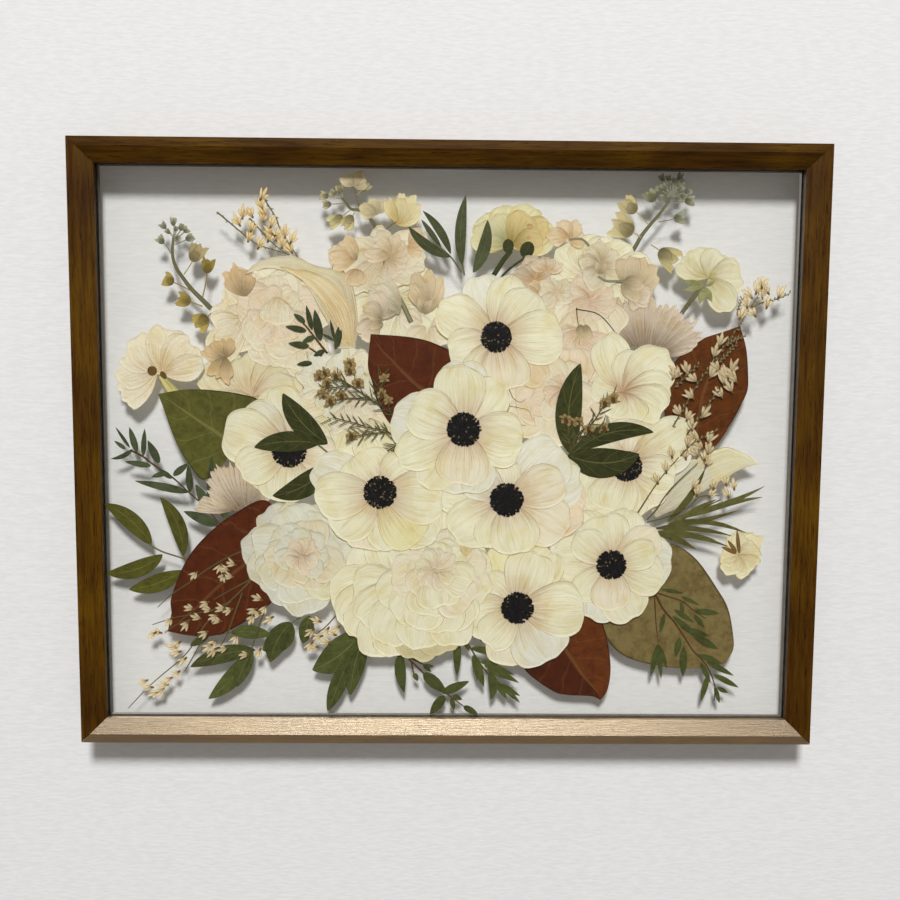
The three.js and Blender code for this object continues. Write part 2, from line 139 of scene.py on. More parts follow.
def at(centre, direction, reach):
    """The point at that many millimetres from centre, direction in degrees anticlockwise from +X."""
    turn = np.radians(direction)
    return centre[0] + reach * np.cos(turn), centre[1] + reach * np.sin(turn)


print("five even places on a bent stem:", even([(0, 0), (10, 4), (20, 0)], 5).round(1).tolist())

# %%
# One specimen
SHEET_STEP = 0.0032 * MM
SHEETS_PER_LAYER = 64
SHARED_PLACES = 24
FAR_FROM_RIM = 9.0
FULL_TURN = 6.3
TIP_CLOSING = 0.996
HEART_STRENGTH = 0.6
RIPPLE_WAVES = (3, 6.4, 9.8)


class Specimen:
    """Gathers the sheets of one pressed specimen into one mesh in front of its plate."""

    def __init__(self, name, node=None, lift=0.0):
        self.name, self.node = name, node or name
        self.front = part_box(self.node)[0].y - lift * MM
        self.points, self.uv, self.tints, self.number, self.rim = [], [], [], [], []
        self.faces, self.tissue, self.tissues = [], [], []
        self.sheets = 0
        self.total = 0

    def add(self, tissue, x, z, tint, rim=FAR_FROM_RIM):
        """Adds grids x and z of (sheets, along, across), with a tint and a distance to the rim per point."""
        sheets, along, across = x.shape
        order = self.sheets + np.arange(sheets)
        over = order - SHEETS_PER_LAYER
        order = np.where(over < 0, order, SHEETS_PER_LAYER - SHARED_PLACES + over % SHARED_PLACES)
        depth = self.front - (order[:, None, None] + 1) * SHEET_STEP + 0 * x
        v, u = np.meshgrid(np.linspace(0, 1, along), np.linspace(0, 1, across), indexing="ij")
        self.points.append(np.stack([x * MM, depth, z * MM], -1).reshape(-1, 3))
        self.uv.append(np.broadcast_to(np.stack([u, v], -1), (*x.shape, 2)).reshape(-1, 2))
        self.tints.append(np.broadcast_to(tint, (*x.shape, 3)).reshape(-1, 3))
        self.number.append(np.repeat(dice.random(sheets), along * across))
        self.rim.append(np.broadcast_to(rim, x.shape).ravel())
        corner = np.arange((along - 1) * across).reshape(along - 1, across)[:, :-1].ravel()
        quad = np.column_stack([corner, corner + 1, corner + across + 1, corner + across])
        offset = self.total + along * across * np.arange(sheets)
        self.faces.append((quad[None] + offset[:, None, None]).reshape(-1, 4))
        if tissue not in self.tissues:
            self.tissues.append(tissue)
        self.tissue.append(np.full(len(quad) * sheets, self.tissues.index(tissue)))
        self.sheets += sheets
        self.total += x.size

    def blades(self, tissue, rows, tint, ends=(0.8, 1.0), grid=(9, 5), ruffle=0.0, heart=None, fade=0.34):
        """Leaves or petals, one for each row (base x, base z, tip x, tip z, width, bend).

        The middle line bends as a parabola. The half width is v^a (1 - v)^b scaled to its peak, so a
        and b in ends set how blunt the base and the tip are. The rim ripples by the share ruffle, and
        a heart colour, if given, fades out from the base over the share fade.
        """
        rows = np.array([(*row, 0.0)[:6] for row in rows], float)
        along, across = grid
        v = (1 - np.cos(np.linspace(0, np.pi, along))) / 2
        u = np.linspace(-1, 1, across)
        base, tip, width, bend = rows[:, None, 0:2], rows[:, None, 2:4], rows[:, 4], rows[:, 5]
        axis = tip - base
        side = np.stack([-axis[..., 1], axis[..., 0]], -1)
        sweep = 4 * bend[:, None, None] * side
        middle = base + axis * v[None, :, None] + sweep * (v * (1 - v))[None, :, None]
        run = axis + sweep * (1 - 2 * v)[None, :, None]
        normal = np.stack([-run[..., 1], run[..., 0]], -1) / np.linalg.norm(run, axis=-1)[..., None]
        a, b = ends
        peak = a / (a + b)
        half = 0.5 * width[:, None] * (v / peak) ** a * ((1 - TIP_CLOSING * v) / (1 - peak)) ** b
        spot = middle[:, :, None] + (half[..., None] * u)[..., None] * normal[:, :, None]
        phase = dice.random((len(rows), 3, 1, 1)) * FULL_TURN
        half_share = half[..., None] * u / (0.5 * width[:, None, None])
        wave = sum(np.sin(n * half_share + phase[:, k]) / (k + 1) for k, n in enumerate(RIPPLE_WAVES))
        stretch = 1 + ruffle * wave * (v**2)[None, :, None]
        spot = base[:, None] + (spot - base[:, None]) * stretch[..., None]
        colour = np.broadcast_to(np.asarray(tint, float).reshape(-1, 1, 1, 3), (*spot.shape[:3], 3))
        if heart is not None:
            share = np.exp(-((v / fade) ** 2))[None, :, None, None] * HEART_STRENGTH
            colour = colour * (1 - share) + np.asarray(heart) * share
        long = np.linalg.norm(axis, axis=-1)[..., None]
        rim = np.minimum(half[..., None] * (1 - np.abs(u)), long * (1 - v)[None, :, None])
        self.add(tissue, spot[..., 0], spot[..., 1], colour, rim)

    def stem(self, points, wide, narrow, tint, count=0):
        """A ribbon that tapers along a smooth line through the points."""
        line = even(points, count or 4 * len(points))
        run = np.gradient(line, axis=0)
        normal = np.column_stack([-run[:, 1], run[:, 0]]) / np.linalg.norm(run, axis=1)[:, None]
        half = np.linspace(wide, narrow, len(line))[:, None] / 2
        spot = line[:, None] + (half * np.linspace(-1, 1, 3))[..., None] * normal[:, None]
        self.add("stem", spot[None, ..., 0], spot[None, ..., 1], tint)

    def leaf(self, tissue, left, right, tint, other=None, grid=(44, 25)):
        """A broad sheet between two edges from base to tip: a point lies a share of the way across.

        The colour other, if given, tints the half at the right edge.
        """
        a, b = even(left, grid[0]), even(right, grid[0])
        share = np.linspace(0, 1, grid[1])[None, :, None]
        spot = a[:, None] * (1 - share) + b[:, None] * share
        tint = np.broadcast_to(tint, (*spot.shape[:2], 3)).copy()
        if other is not None:
            tint[:, grid[1] // 2 :] = other
        wide = np.linalg.norm(a - b, axis=1)[:, None]
        rim = wide * np.minimum(share[..., 0], 1 - share[..., 0])
        self.add(tissue, spot[None, ..., 0], spot[None, ..., 1], tint[None], rim[None])

    def finish(self, slot):
        """Makes the mesh, with its map, tint, number and rim attributes, and stands it for its plate."""
        mesh = bpy.data.meshes.new(self.name)
        faces = np.concatenate(self.faces)
        mesh.from_pydata(np.concatenate(self.points), [], faces.tolist())
        layer = mesh.uv_layers.new(name="sheet")
        layer.data.foreach_set("uv", np.concatenate(self.uv)[faces.ravel()].astype(np.float32).ravel())
        tints = np.concatenate(self.tints)
        tints = np.column_stack([tints, np.ones(len(tints))])
        for name, kind, field, values in (
                ("tint", "FLOAT_COLOR", "color", tints),
                ("piece", "FLOAT", "value", np.concatenate(self.number)),
                ("rim", "FLOAT", "value", np.concatenate(self.rim))):
            made = mesh.attributes.new(name, kind, "POINT")
            made.data.foreach_set(field, values.astype(np.float32).ravel())
        mesh.polygons.foreach_set("material_index", np.concatenate(self.tissue).astype(np.int32))
        for tissue in self.tissues:
            mesh.materials.append(TISSUES[tissue])
        mesh.update()
        piece = bpy.data.objects.new(self.name, mesh)
        bpy.context.collection.objects.link(piece)
        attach(piece, "root")
        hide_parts(self.node)
        print(f"{self.name}: {self.sheets} sheets, {len(faces)} faces")


# %% [markdown]
# ## Materials
# A pressed petal is a thin, slightly see-through skin with fine veins that fan from its base, so light
# both bounces off it and glows through it. Each petal could be painted by hand. Instead the map runs
# across and along each sheet, which lets one material draw veins, rims and stains on every petal
# whatever its shape. The rim lines are partly browned edges and partly painted edge shadow, and the
# folds get painted shade. Leaves are thicker and get a midrib and slanted side veins from the same map.

# %%
# Node helpers
def new_material(name):
    """An empty node material and its tree."""
    material = bpy.data.materials.new(name)
    material.use_nodes = True
    material.node_tree.nodes.clear()
    return material, material.node_tree


def node(tree, kind, settings=None, **sockets):
    """A node with its settings and inputs.

    An input is named, or numbered as _0, _1 and so on. Another node's output is linked to it, and
    anything else becomes its value.
    """
    made = tree.nodes.new(kind)
    for key, value in (settings or {}).items():
        setattr(made, key, value)
    for key, value in sockets.items():
        socket = made.inputs[int(key[1:])] if key[1:].isdigit() else made.inputs[key.replace("_", " ")]
        if isinstance(value, bpy.types.NodeSocket):
            tree.links.new(value, socket)
        else:
            socket.default_value = value
    return made


def maths(tree, operation, a, b=0.0, clamp=False):
    """One arithmetic step on two values."""
    return node(tree, "ShaderNodeMath", {"operation": operation, "use_clamp": clamp}, _0=a, _1=b).outputs[0]


def times(tree, a, b):
    """A product."""
    return maths(tree, "MULTIPLY", a, b)


def rest_of(tree, value):
    """One minus the value."""
    return maths(tree, "SUBTRACT", 1.0, value)


def step_up(tree, value, low, high):
    """0 below low, 1 above high and smooth between them."""
    settings = {"interpolation_type": "SMOOTHSTEP"}
    return node(tree, "ShaderNodeMapRange", settings, _0=value, _1=low, _2=high, _3=0.0, _4=1.0).outputs[0]


def blend(tree, share, first, second, mode="MIX"):
    """First and second colours mixed by share. Inputs 6 and 7 and output 2 of a Mix node are colours."""
    made = node(tree, "ShaderNodeMix", {"data_type": "RGBA", "blend_type": mode, "clamp_result": True})
    for index, value in ((0, share), (6, first), (7, second)):
        if isinstance(value, bpy.types.NodeSocket):
            tree.links.new(value, made.inputs[index])
        else:
            made.inputs[index].default_value = value if index == 0 else (*value[:3], 1.0)
    return made.outputs[2]


def shaded(tree, share, colour, shade):
    """The colour multiplied by the shade, as far as share says."""
    return blend(tree, share, colour, shade, "MULTIPLY")


# %%
# Places, noise and the sheet's own map
def object_place(tree):
    """The point's place on the object in metres."""
    return node(tree, "ShaderNodeTexCoord").outputs["Object"]


def noise(tree, vector, scale, detail=3.0, roughness=0.55):
    """Noise from 0 to 1 at the given vector."""
    made = node(tree, "ShaderNodeTexNoise", Vector=vector, Scale=scale, Detail=detail, Roughness=roughness)
    return made.outputs[0]


def sheet_map(tree):
    """Across from 0 to 1, along from 0 to 1, the piece number and the tint of a sheet."""
    sheet = node(tree, "ShaderNodeUVMap", {"uv_map": "sheet"}).outputs[0]
    place = node(tree, "ShaderNodeSeparateXYZ", _0=sheet)
    piece = node(tree, "ShaderNodeAttribute", {"attribute_name": "piece"}).outputs["Fac"]
    tint = node(tree, "ShaderNodeAttribute", {"attribute_name": "tint"}).outputs["Color"]
    return place.outputs[0], place.outputs[1], piece, tint


def from_middle(tree, across):
    """0 on a sheet's middle line and 1 at its two edges."""
    return maths(tree, "ABSOLUTE", maths(tree, "SUBTRACT", times(tree, across, 2.0), 1.0))


def sheet_vector(tree, across, along, grid, shift):
    """A vector over the sheet: across and along times the two counts in grid, then the shift."""
    return node(tree, "ShaderNodeCombineXYZ", _0=times(tree, across, grid[0]),
                _1=times(tree, along, grid[1]), _2=shift).outputs[0]


# %%
# Skin: part bounces, a share glow shines through, a share holes lets sight pass
WRINKLE_DEPTH = 0.0006
SKIN_SHEEN = 0.15


def skin(tree, colour, bump, strength, roughness, glow, holes):
    """The surface of dry tissue: a dull shader, mixed with a translucent and then a clear one."""
    dent = node(tree, "ShaderNodeBump", Strength=strength, Distance=WRINKLE_DEPTH, Height=bump).outputs[0]
    lit = node(tree, "ShaderNodeBsdfPrincipled", Base_Color=colour, Roughness=roughness, Normal=dent)
    lit.inputs["Specular IOR Level"].default_value = SKIN_SHEEN
    through = node(tree, "ShaderNodeBsdfTranslucent", Color=colour, Normal=dent)
    both = node(tree, "ShaderNodeMixShader", _0=glow, _1=lit.outputs[0], _2=through.outputs[0]).outputs[0]
    clear = node(tree, "ShaderNodeBsdfTransparent").outputs[0]
    seen = node(tree, "ShaderNodeMixShader", _0=holes, _1=both, _2=clear).outputs[0]
    node(tree, "ShaderNodeOutputMaterial", _0=seen)


# %%
# Petals: counts of veins and folds over a sheet, sizes of stains per metre, rim widths in millimetres
VEIN_GRID = (96.0, 2.6)
FOLD_GRID = (9.0, 2.0)
PETAL_SHIFT = 57.0
STAIN_SCALE = 60.0
CRUMPLE_SCALE = 300.0
RIM_SCALE = 90.0
RIM_LINE = (0.12, 0.55)
FLAT_RIM = 2.5
BASE_VEINS = 1.5
BASE_REACH = (0.2, 0.62)
STAIN_SHADE = rgb(246, 238, 210)
FOLD_PAINTED_SHADE = rgb(244, 238, 218)
VEIN_SHADE = rgb(208, 180, 152)
RIM_BROWN_AND_SHADOW = rgb(160, 132, 84)


def petal_tissue(name, veins, rim, wrinkle, glow, holes):
    """Petal skin: fan veins that darken towards the base, a thin rim line that is partly a browned edge and
    partly painted edge shadow, painted shade along the folds, wrinkles and faint stains.
    """
    material, tree = new_material(name)
    across, along, piece, tint = sheet_map(tree)
    shift = times(tree, piece, PETAL_SHIFT)
    streaks = noise(tree, sheet_vector(tree, across, along, VEIN_GRID, shift), 1.0, 5.0, 0.7)
    folds = noise(tree, sheet_vector(tree, across, along, FOLD_GRID, shift), 1.0, 4.0, 0.6)
    spot = object_place(tree)
    stains = noise(tree, spot, STAIN_SCALE, 4.0, 0.6)
    crumple = noise(tree, spot, CRUMPLE_SCALE, 5.0, 0.65)
    to_rim = node(tree, "ShaderNodeAttribute", {"attribute_name": "rim"}).outputs["Fac"]
    broken = step_up(tree, noise(tree, spot, RIM_SCALE, 3.0, 0.6), 0.36, 0.6)
    # The rim line is partly a browned edge and partly painted shadow where one petal's edge lies over
    # another.
    line = times(tree, times(tree, rest_of(tree, step_up(tree, to_rim, *RIM_LINE)), broken), rim)
    near_base = rest_of(tree, step_up(tree, along, *BASE_REACH))
    depth = maths(tree, "ADD", times(tree, near_base, BASE_VEINS), veins)
    vein = maths(tree, "MULTIPLY", step_up(tree, streaks, 0.44, 0.72), depth, True)
    aged = shaded(tree, step_up(tree, stains, 0.42, 0.8), tint, STAIN_SHADE)
    # Petal colour darkens along the folds: painted shade in the creases.
    fold_painted_shade = shaded(tree, step_up(tree, folds, 0.5, 0.75), aged, FOLD_PAINTED_SHADE)
    veined = shaded(tree, vein, fold_painted_shade, VEIN_SHADE)
    rim_brown_and_shadow = shaded(tree, line, veined, RIM_BROWN_AND_SHADOW)
    inside = step_up(tree, to_rim, 0.0, FLAT_RIM)
    height = times(tree, maths(tree, "ADD", times(tree, streaks, 0.35), folds), inside)
    height = maths(tree, "ADD", height, times(tree, crumple, wrinkle))
    skin(tree, rim_brown_and_shadow, height, 0.75, 0.75, glow, holes)
    return material


# %%
# Leaves: sizes of blotches, speckles and wobble per metre
BLOTCH_SCALE = 150.0
SPECKLE_SCALE = 1200.0
WOBBLE_SCALE = 60.0
SIDE_VEIN_WIDTH = 0.12
RIB_WIDTH = (0.015, 0.06)
BLOTCH_SHADE = rgb(196, 184, 164)
SPECKLE_SHADE = rgb(200, 190, 170)
LEAF_EDGE_SHADE = rgb(150, 140, 120)


def leaf_tissue(name, side_veins, slant, strength, vein_colour, glow):
    """Leaf skin: a midrib along the middle and side veins that slant towards the tip."""
    material, tree = new_material(name)
    across, along, piece, tint = sheet_map(tree)
    off = from_middle(tree, across)
    spot = object_place(tree)
    wobble = times(tree, noise(tree, spot, WOBBLE_SCALE), 0.12)
    ramp = maths(tree, "SUBTRACT", maths(tree, "ADD", along, wobble), times(tree, off, slant))
    comb = maths(tree, "PINGPONG", times(tree, ramp, side_veins), 1.0)
    side = times(tree, rest_of(tree, step_up(tree, comb, 0.0, SIDE_VEIN_WIDTH)), 0.55)
    rib = rest_of(tree, step_up(tree, off, *RIB_WIDTH))
    vein = times(tree, maths(tree, "MAXIMUM", side, rib), strength)
    mottle = noise(tree, spot, BLOTCH_SCALE, 6.0, 0.7)
    grain = noise(tree, spot, SPECKLE_SCALE, 2.0, 0.5)
    dark = shaded(tree, step_up(tree, mottle, 0.35, 0.75), tint, BLOTCH_SHADE)
    speckled = shaded(tree, times(tree, grain, 0.35), dark, SPECKLE_SHADE)
    veined = blend(tree, vein, speckled, vein_colour)
    edge = shaded(tree, step_up(tree, off, 0.95, 1.0), veined, LEAF_EDGE_SHADE)
    height = maths(tree, "ADD", times(tree, mottle, 1.6), times(tree, vein, -0.7))
    height = maths(tree, "ADD", height, times(tree, grain, 0.3))
    skin(tree, edge, height, 0.6, 0.55, glow, 0.0)
    return material


# %%
# Stems, small blossoms and anthers
STEM_GRID = (6.0, 3.0)
STEM_SHIFT = 31.0
STEM_GRAIN_SHADE = rgb(190, 176, 150)
STEM_EDGE_PAINTED_SHADE = rgb(170, 160, 140)


def plain_tissue(name, roughness, glow):
    """The tint with fine lengthwise grain and painted shade towards the edges, which makes a flat ribbon look
    round.
    """
    material, tree = new_material(name)
    across, along, piece, tint = sheet_map(tree)
    shift = times(tree, piece, STEM_SHIFT)
    grain = noise(tree, sheet_vector(tree, across, along, STEM_GRID, shift), 1.0, 3.0)
    dark = shaded(tree, step_up(tree, grain, 0.4, 0.8), tint, STEM_GRAIN_SHADE)
    # Painted shade towards both edges, so a flat stem, blossom or anther ribbon looks round.
    painted_round_shade = shaded(tree, step_up(tree, from_middle(tree, across), 0.5, 1.1), dark, STEM_EDGE_PAINTED_SHADE)
    skin(tree, painted_round_shade, grain, 0.4, roughness, glow, 0.0)
    return material


# %%
# All tissues
TISSUES = {
    "petal": petal_tissue("petal_skin", veins=0.5, rim=0.9, wrinkle=0.3, glow=0.1, holes=0.04),
    "sheer": petal_tissue("sheer_petal_skin", veins=0.45, rim=0.9, wrinkle=0.45, glow=0.14, holes=0.16),
    "crinkled": petal_tissue("crinkled_petal_skin", veins=0.6, rim=0.6, wrinkle=1.3, glow=0.12, holes=0.05),
    "broad_leaf": leaf_tissue("broad_leaf_skin", 13.0, 0.16, 0.25, rgb(150, 110, 70), glow=0.05),
    "green_leaf": leaf_tissue("green_leaf_skin", 11.0, 0.2, 0.35, rgb(156, 150, 96), glow=0.12),
    "leaflet": leaf_tissue("leaflet_skin", 5.0, 0.4, 0.3, rgb(120, 124, 84), glow=0.12),
    "stem": plain_tissue("stem_skin", roughness=0.7, glow=0.0),
    "blossom": plain_tissue("blossom_skin", roughness=0.75, glow=0.3),
    "anther": plain_tissue("anther_skin", roughness=0.6, glow=0.0),
}
print("tissues:", ", ".join(TISSUES))

# %% [markdown]
# ## Large leaves
# Six broad leathery leaves sit behind the bouquet. One could be cut along a single outline, but its
# midrib and side veins have to know where the middle is. So each leaf is the sheet between two edges
# that run from the stalk to the tip, and the middle lies halfway.

# %%
# Broad leaves: material, colour, colour of the right half if it differs, slot, left edge, right edge
BROAD_LEAVES = {
    "magnolia_leaf_dark": ("broad_leaf", BROWN, None, "brown_leaf",
        [(8, 30), (-8, 12), (-25, 6), (-41, 15.6), (-52, 33), (-56, 48), (-59, 60), (-57, 82)],
        [(8, 30), (16, 48), (15, 62), (4, 69), (-7, 74), (-18, 78), (-33, 80.5), (-57, 82)]),
    "magnolia_leaf_left": ("broad_leaf", BROWN, None, "brown_leaf",
        [(-120, -60), (-133, -38.5), (-157, -49), (-177, -65), (-192, -84), (-203, -111), (-203, -122),
         (-206, -136)],
        [(-120, -60), (-118, -90), (-128, -112), (-139, -121), (-155, -132), (-172, -139), (-190, -139),
         (-206, -136)]),
    "magnolia_leaf_red": ("broad_leaf", rgb(86, 40, 12), rgb(112, 60, 22), "red_brown_leaf",
        [(80, -130), (60, -140), (53, -153), (59, -166), (78, -180), (89, -183), (107, -184), (114, -187)],
        [(80, -130), (99, -113), (108, -118), (114, -128), (119, -146), (121, -164), (119, -179),
         (114, -187)]),
    "magnolia_leaf_right": ("broad_leaf", RED_BROWN, None, "brown_leaf",
        [(184, 0), (164, 6), (156, 28), (156, 53), (168, 70), (181, 80), (198, 86), (209, 90)],
        [(184, 0), (194, 3), (206, 22), (212, 34), (216, 44), (216, 56), (214, 74), (209, 90)]),
    "magnolia_leaf_green": ("green_leaf", GREEN, None, "green_leaf",
        [(-150, 4), (-162, -10), (-178, -24), (-189, -12), (-195, -2), (-201, 12), (-206, 27), (-210, 38)],
        [(-150, 4), (-136, 20), (-138, 34), (-149, 38), (-161, 40), (-177, 41.4), (-193, 41), (-210, 38)]),
    "magnolia_leaf_olive": ("broad_leaf", OLIVE, None, "olive_leaf",
        [(142, -70), (116, -96), (113, -126), (121, -145), (137, -156), (167, -162), (189, -162),
         (206, -159)],
        [(142, -70), (164, -69), (182, -80), (199, -103), (207, -117), (211, -134), (212, -148),
         (206, -159)]),
}
OLIVE_SPRIG_FOOT = (152, -105)


def olive_sprig(leaf):
    """The fine leafy sprig that lies on the olive leaf."""
    leaf.stem([OLIVE_SPRIG_FOOT, (164, -109), (173, -112), (182, -119), (191, -125)], 1.2, 0.6, TWIG)
    leaf.stem([OLIVE_SPRIG_FOOT, (159, -118), (167, -127), (174, -137), (182, -149), (189, -156), (195, -165),
               (199, -176), (199, -187)], 1.6, 0.7, TWIG)
    leaf.stem([OLIVE_SPRIG_FOOT, (154, -129), (156, -143)], 1.2, 0.6, TWIG)
    leaf.blades("leaflet", [
        (157, -103, 174, -106, 3), (172, -108, 186, -115, 3), (172, -112, 174, -124, 3),
        (182, -119, 201, -121, 5), (182, -122, 190, -132, 4), (166, -123, 188, -141, 5),
        (182, -138, 201, -148, 6), (192, -157, 213, -168, 4.5), (198, -167, 217, -177, 4.5),
        (201, -177, 209, -181, 3.5), (194, -167, 189, -188, 4.5), (175, -146, 175, -169, 6),
        (172, -139, 169, -154, 5), (156, -144, 151, -169, 5), (156, -144, 159, -171, 4),
        (156, -144, 163, -163, 4), (176, -133, 194, -138, 5), (186, -152, 204, -159, 5),
        (167, -118, 182, -128, 4), (160, -121, 157, -136, 3.5), (188, -158, 196, -174, 4),
        (199, -176, 203, -189, 3.5)], LEAF_GREEN)


for name, (tissue, tint, other, slot, left, right) in BROAD_LEAVES.items():
    leaf = Specimen(name)
    leaf.leaf(tissue, left, right, tint, other)
    if name == "magnolia_leaf_olive":
        olive_sprig(leaf)
    leaf.finish(slot)

# %% [markdown]
# ## Anemones
# Eight anemones were pressed facing the front. One disc with a star-shaped rim would do from afar.
# Separate petals overlap as pressed ones do, so each is laid on its own, the hindmost first, by its
# direction, reach and width. A black button sits in the middle, in a dense ring of dark anthers.

# %%
# Anther ring
BUTTON_DISCS = 8
FILAMENTS = 70
LEAN = 50
# how many, the nearest and the farthest share of the radius, length in millimetres
ANTHERS = ((150, 0.5, 0.78, 2.1), (240, 0.72, 0.88, 2.0), (70, 0.1, 0.55, 1.6))


def anther_ring(flower, centre, radius, pale):
    """A black button, filaments and anthers whose tips reach about the radius; the share pale has pollen."""
    around = np.linspace(0, 360, BUTTON_DISCS + 1)[:-1]
    dark = [(*centre, *at(centre, turn, 0.8 * radius), 0.76 * radius) for turn in around]
    flower.blades("anther", dark, BLACK * 1.6, (0.5, 0.3), (7, 5))
    turn = dice.random(FILAMENTS) * 360
    out = radius * (0.72 + 0.18 * dice.random(FILAMENTS))
    flower.blades("anther", [(*at(centre, t, 0.4 * r), *at(centre, t, r), 0.35) for t, r in zip(turn, out)],
                  FILAMENT, (0.5, 0.5), (3, 3))
    for count, low, high, size in ANTHERS:
        turn = dice.random(count) * 360
        out = radius * (low + (high - low) * dice.random(count))
        lean = turn + LEAN * (dice.random(count) - 0.5)
        start = [at(centre, t, r) for t, r in zip(turn, out)]
        rows = [(*spot, *at(spot, t, size), 1.3) for spot, t in zip(start, lean)]
        light = dice.random(count) < pale
        shade = 8 + 34 * dice.random(count) ** 2
        tints = np.array([POLLEN if lit else rgb(s, s, s * 1.08) for lit, s in zip(light, shade)])
        flower.blades("anther", rows, tints, (0.5, 0.5), (4, 3))


# %%
# Anemones
# name: centre, ring radius, pale anthers, petals as (direction, reach, width, colour), back to front
ANEMONES = {
    "anemone_left": ((-116, -1.5), 13, 0.06,
        [(325, 32, 34, IVORY), (103, 46, 36, CREAM), (220, 37, 36, GREY_WHITE), (140, 44, 34, GREY_WHITE),
         (20, 32, 30, CREAM), (163, 49, 42, CREAM), (352, 34, 28, IVORY), (262, 38, 40, CREAM),
         (205, 40, 30, CREAM)]),
    "anemone_right": ((129.5, -12), 11, 0.1,
        [(232, 46, 38, IVORY), (80, 34, 44, IVORY), (18, 48, 34, GREY_WHITE), (33, 55, 34, CREAM),
         (220, 41, 40, CREAM), (300, 37, 36, IVORY), (160, 32, 36, CREAM), (254, 36, 46, CREAM),
         (345, 36, 30, CREAM)]),
    "anemone_bottom_right": ((119.5, -84.5), 11, 0.08, [
        (126, 46, 34, CREAM), (153, 48, 36, CREAM),
        (75, 42, 34, CREAM), (3, 44, 42, GREY_WHITE), (252, 43, 34, GREY_WHITE), (101, 38, 36, CREAM),
        (35, 41, 28, IVORY), (292, 44, 36, CREAM), (176, 43, 46, CREAM), (344, 40, 32, CREAM),
        (225, 34, 26, CREAM), (270, 34, 30, IVORY), (140, 34, 26, CREAM), (20, 34, 24, CREAM)]),
    "anemone_bottom": ((51, -117), 12, 0.03,
        [(105, 50, 34, YELLOW_CREAM), (60, 50, 34, CREAM), (144, 34, 30, CREAM), (257, 44, 34, IVORY),
         (73, 44, 38, CREAM), (195, 40, 36, CREAM), (302, 47, 44, GREY_WHITE), (230, 36, 30, CREAM),
         (359, 49, 42, CREAM)]),
    "anemone_centre_right": ((42, -37), 12.5, 0.02, [
        (352, 58, 44, BLUSH), (18, 57, 38, GREY_WHITE), (44, 55, 44, GREY_WHITE), (110, 28, 34, CREAM),
        (332, 49, 40, IVORY), (177, 49, 28, CREAM), (214, 47, 38, CREAM), (145, 38, 30, GREY_WHITE),
        (252, 38, 30, CREAM), (20, 44, 34, IVORY), (283, 40, 38, CREAM)]),
    "anemone_centre_left": ((-50, -32), 12, 0.12, [
        (320, 52, 40, CREAM), (157, 51, 36, GREY_WHITE), (125, 32, 44, CREAM), (254, 44, 36, IVORY),
        (40, 32, 38, CREAM), (287, 43, 38, CREAM), (225, 44, 34, CREAM), (185, 47, 36, CREAM),
        (305, 46, 36, YELLOW_CREAM), (355, 46, 42, CREAM)]),
    "anemone_top": ((33, 80.5), 11, 0.1, [
        (318, 48, 24, PEACH), (107, 46, 30, GREY_WHITE), (75, 44, 30, CREAM), (153, 46, 34, CREAM),
        (200, 36, 30, CREAM), (48, 42, 32, CREAM), (247, 40, 30, CREAM), (0, 48, 40, CREAM),
        (282, 39, 38, IVORY)]),
    "anemone_centre": ((10.5, 14), 12.5, 0.04, [
        (270, 47, 48, GREY_WHITE), (170, 52, 44, GREY_WHITE), (92, 50, 36, GREY_WHITE), (235, 50, 32, CREAM),
        (336, 44, 32, CREAM), (204, 52, 32, CREAM), (54, 42, 34, CREAM), (95, 46, 38, CREAM),
        (157, 42, 38, CREAM), (352, 42, 34, CREAM), (268, 40, 40, IVORY)]),
}
for name, (centre, radius, pale, rows) in ANEMONES.items():
    flower = Specimen(name)
    for direction, reach, width, tint in rows:
        base = at(centre, direction, 0.05 * radius)
        row = (*base, *at(centre, direction, reach), width, 0.03 * (dice.random() - 0.5))
        flower.blades("petal", [row], tint, (0.85, 0.42), (22, 21), 0.02, heart=STREAK)
    anther_ring(flower, centre, radius, pale)
    flower.finish("white_petal")

# %% [markdown]
# ## Roses
# A pressed rose is many rings of thin petals, large at the rim and crumpled in the middle, so its
# edges show as overlapping arcs. A spiral formula could place all of them, but pressing shifts petals
# about, so the outer ones are listed one by one and the inner rings laid by a loop with seeded chance.

# %%
# Petals one by one and petals in rings
def fan(base, *tips):
    """Rows with one base, for tips of x, z and width."""
    return [(*base, *tip) for tip in tips]


def petals(flower, tissue, rows, tint, ruffle=0.028, heart=None, fade=0.34):
    """Single petals, given one by one, back to front."""
    flower.blades(tissue, rows, tint, (0.8, 0.44), (18, 17), ruffle, heart, fade)


def petal_ring(flower, tissue, centre, count, reach, width, turn, tints, ruffle=0.03, heart=None):
    """Count petals evenly around the centre, each a little different in reach and direction."""
    for k in range(count):
        direction = turn + 360 * k / count + 12 * (dice.random() - 0.5)
        tip = at(centre, direction, reach * (0.95 + 0.1 * dice.random()))
        base = at(centre, 360 * dice.random(), 0.22 * reach * dice.random())
        row = (*base, *tip, width * (0.85 + 0.3 * dice.random()), 0.16 * (dice.random() - 0.5))
        tint = tints[int(dice.integers(len(tints)))]
        flower.blades(tissue, [row], tint, (0.8, 0.44), (16, 15), ruffle, heart, 0.6)


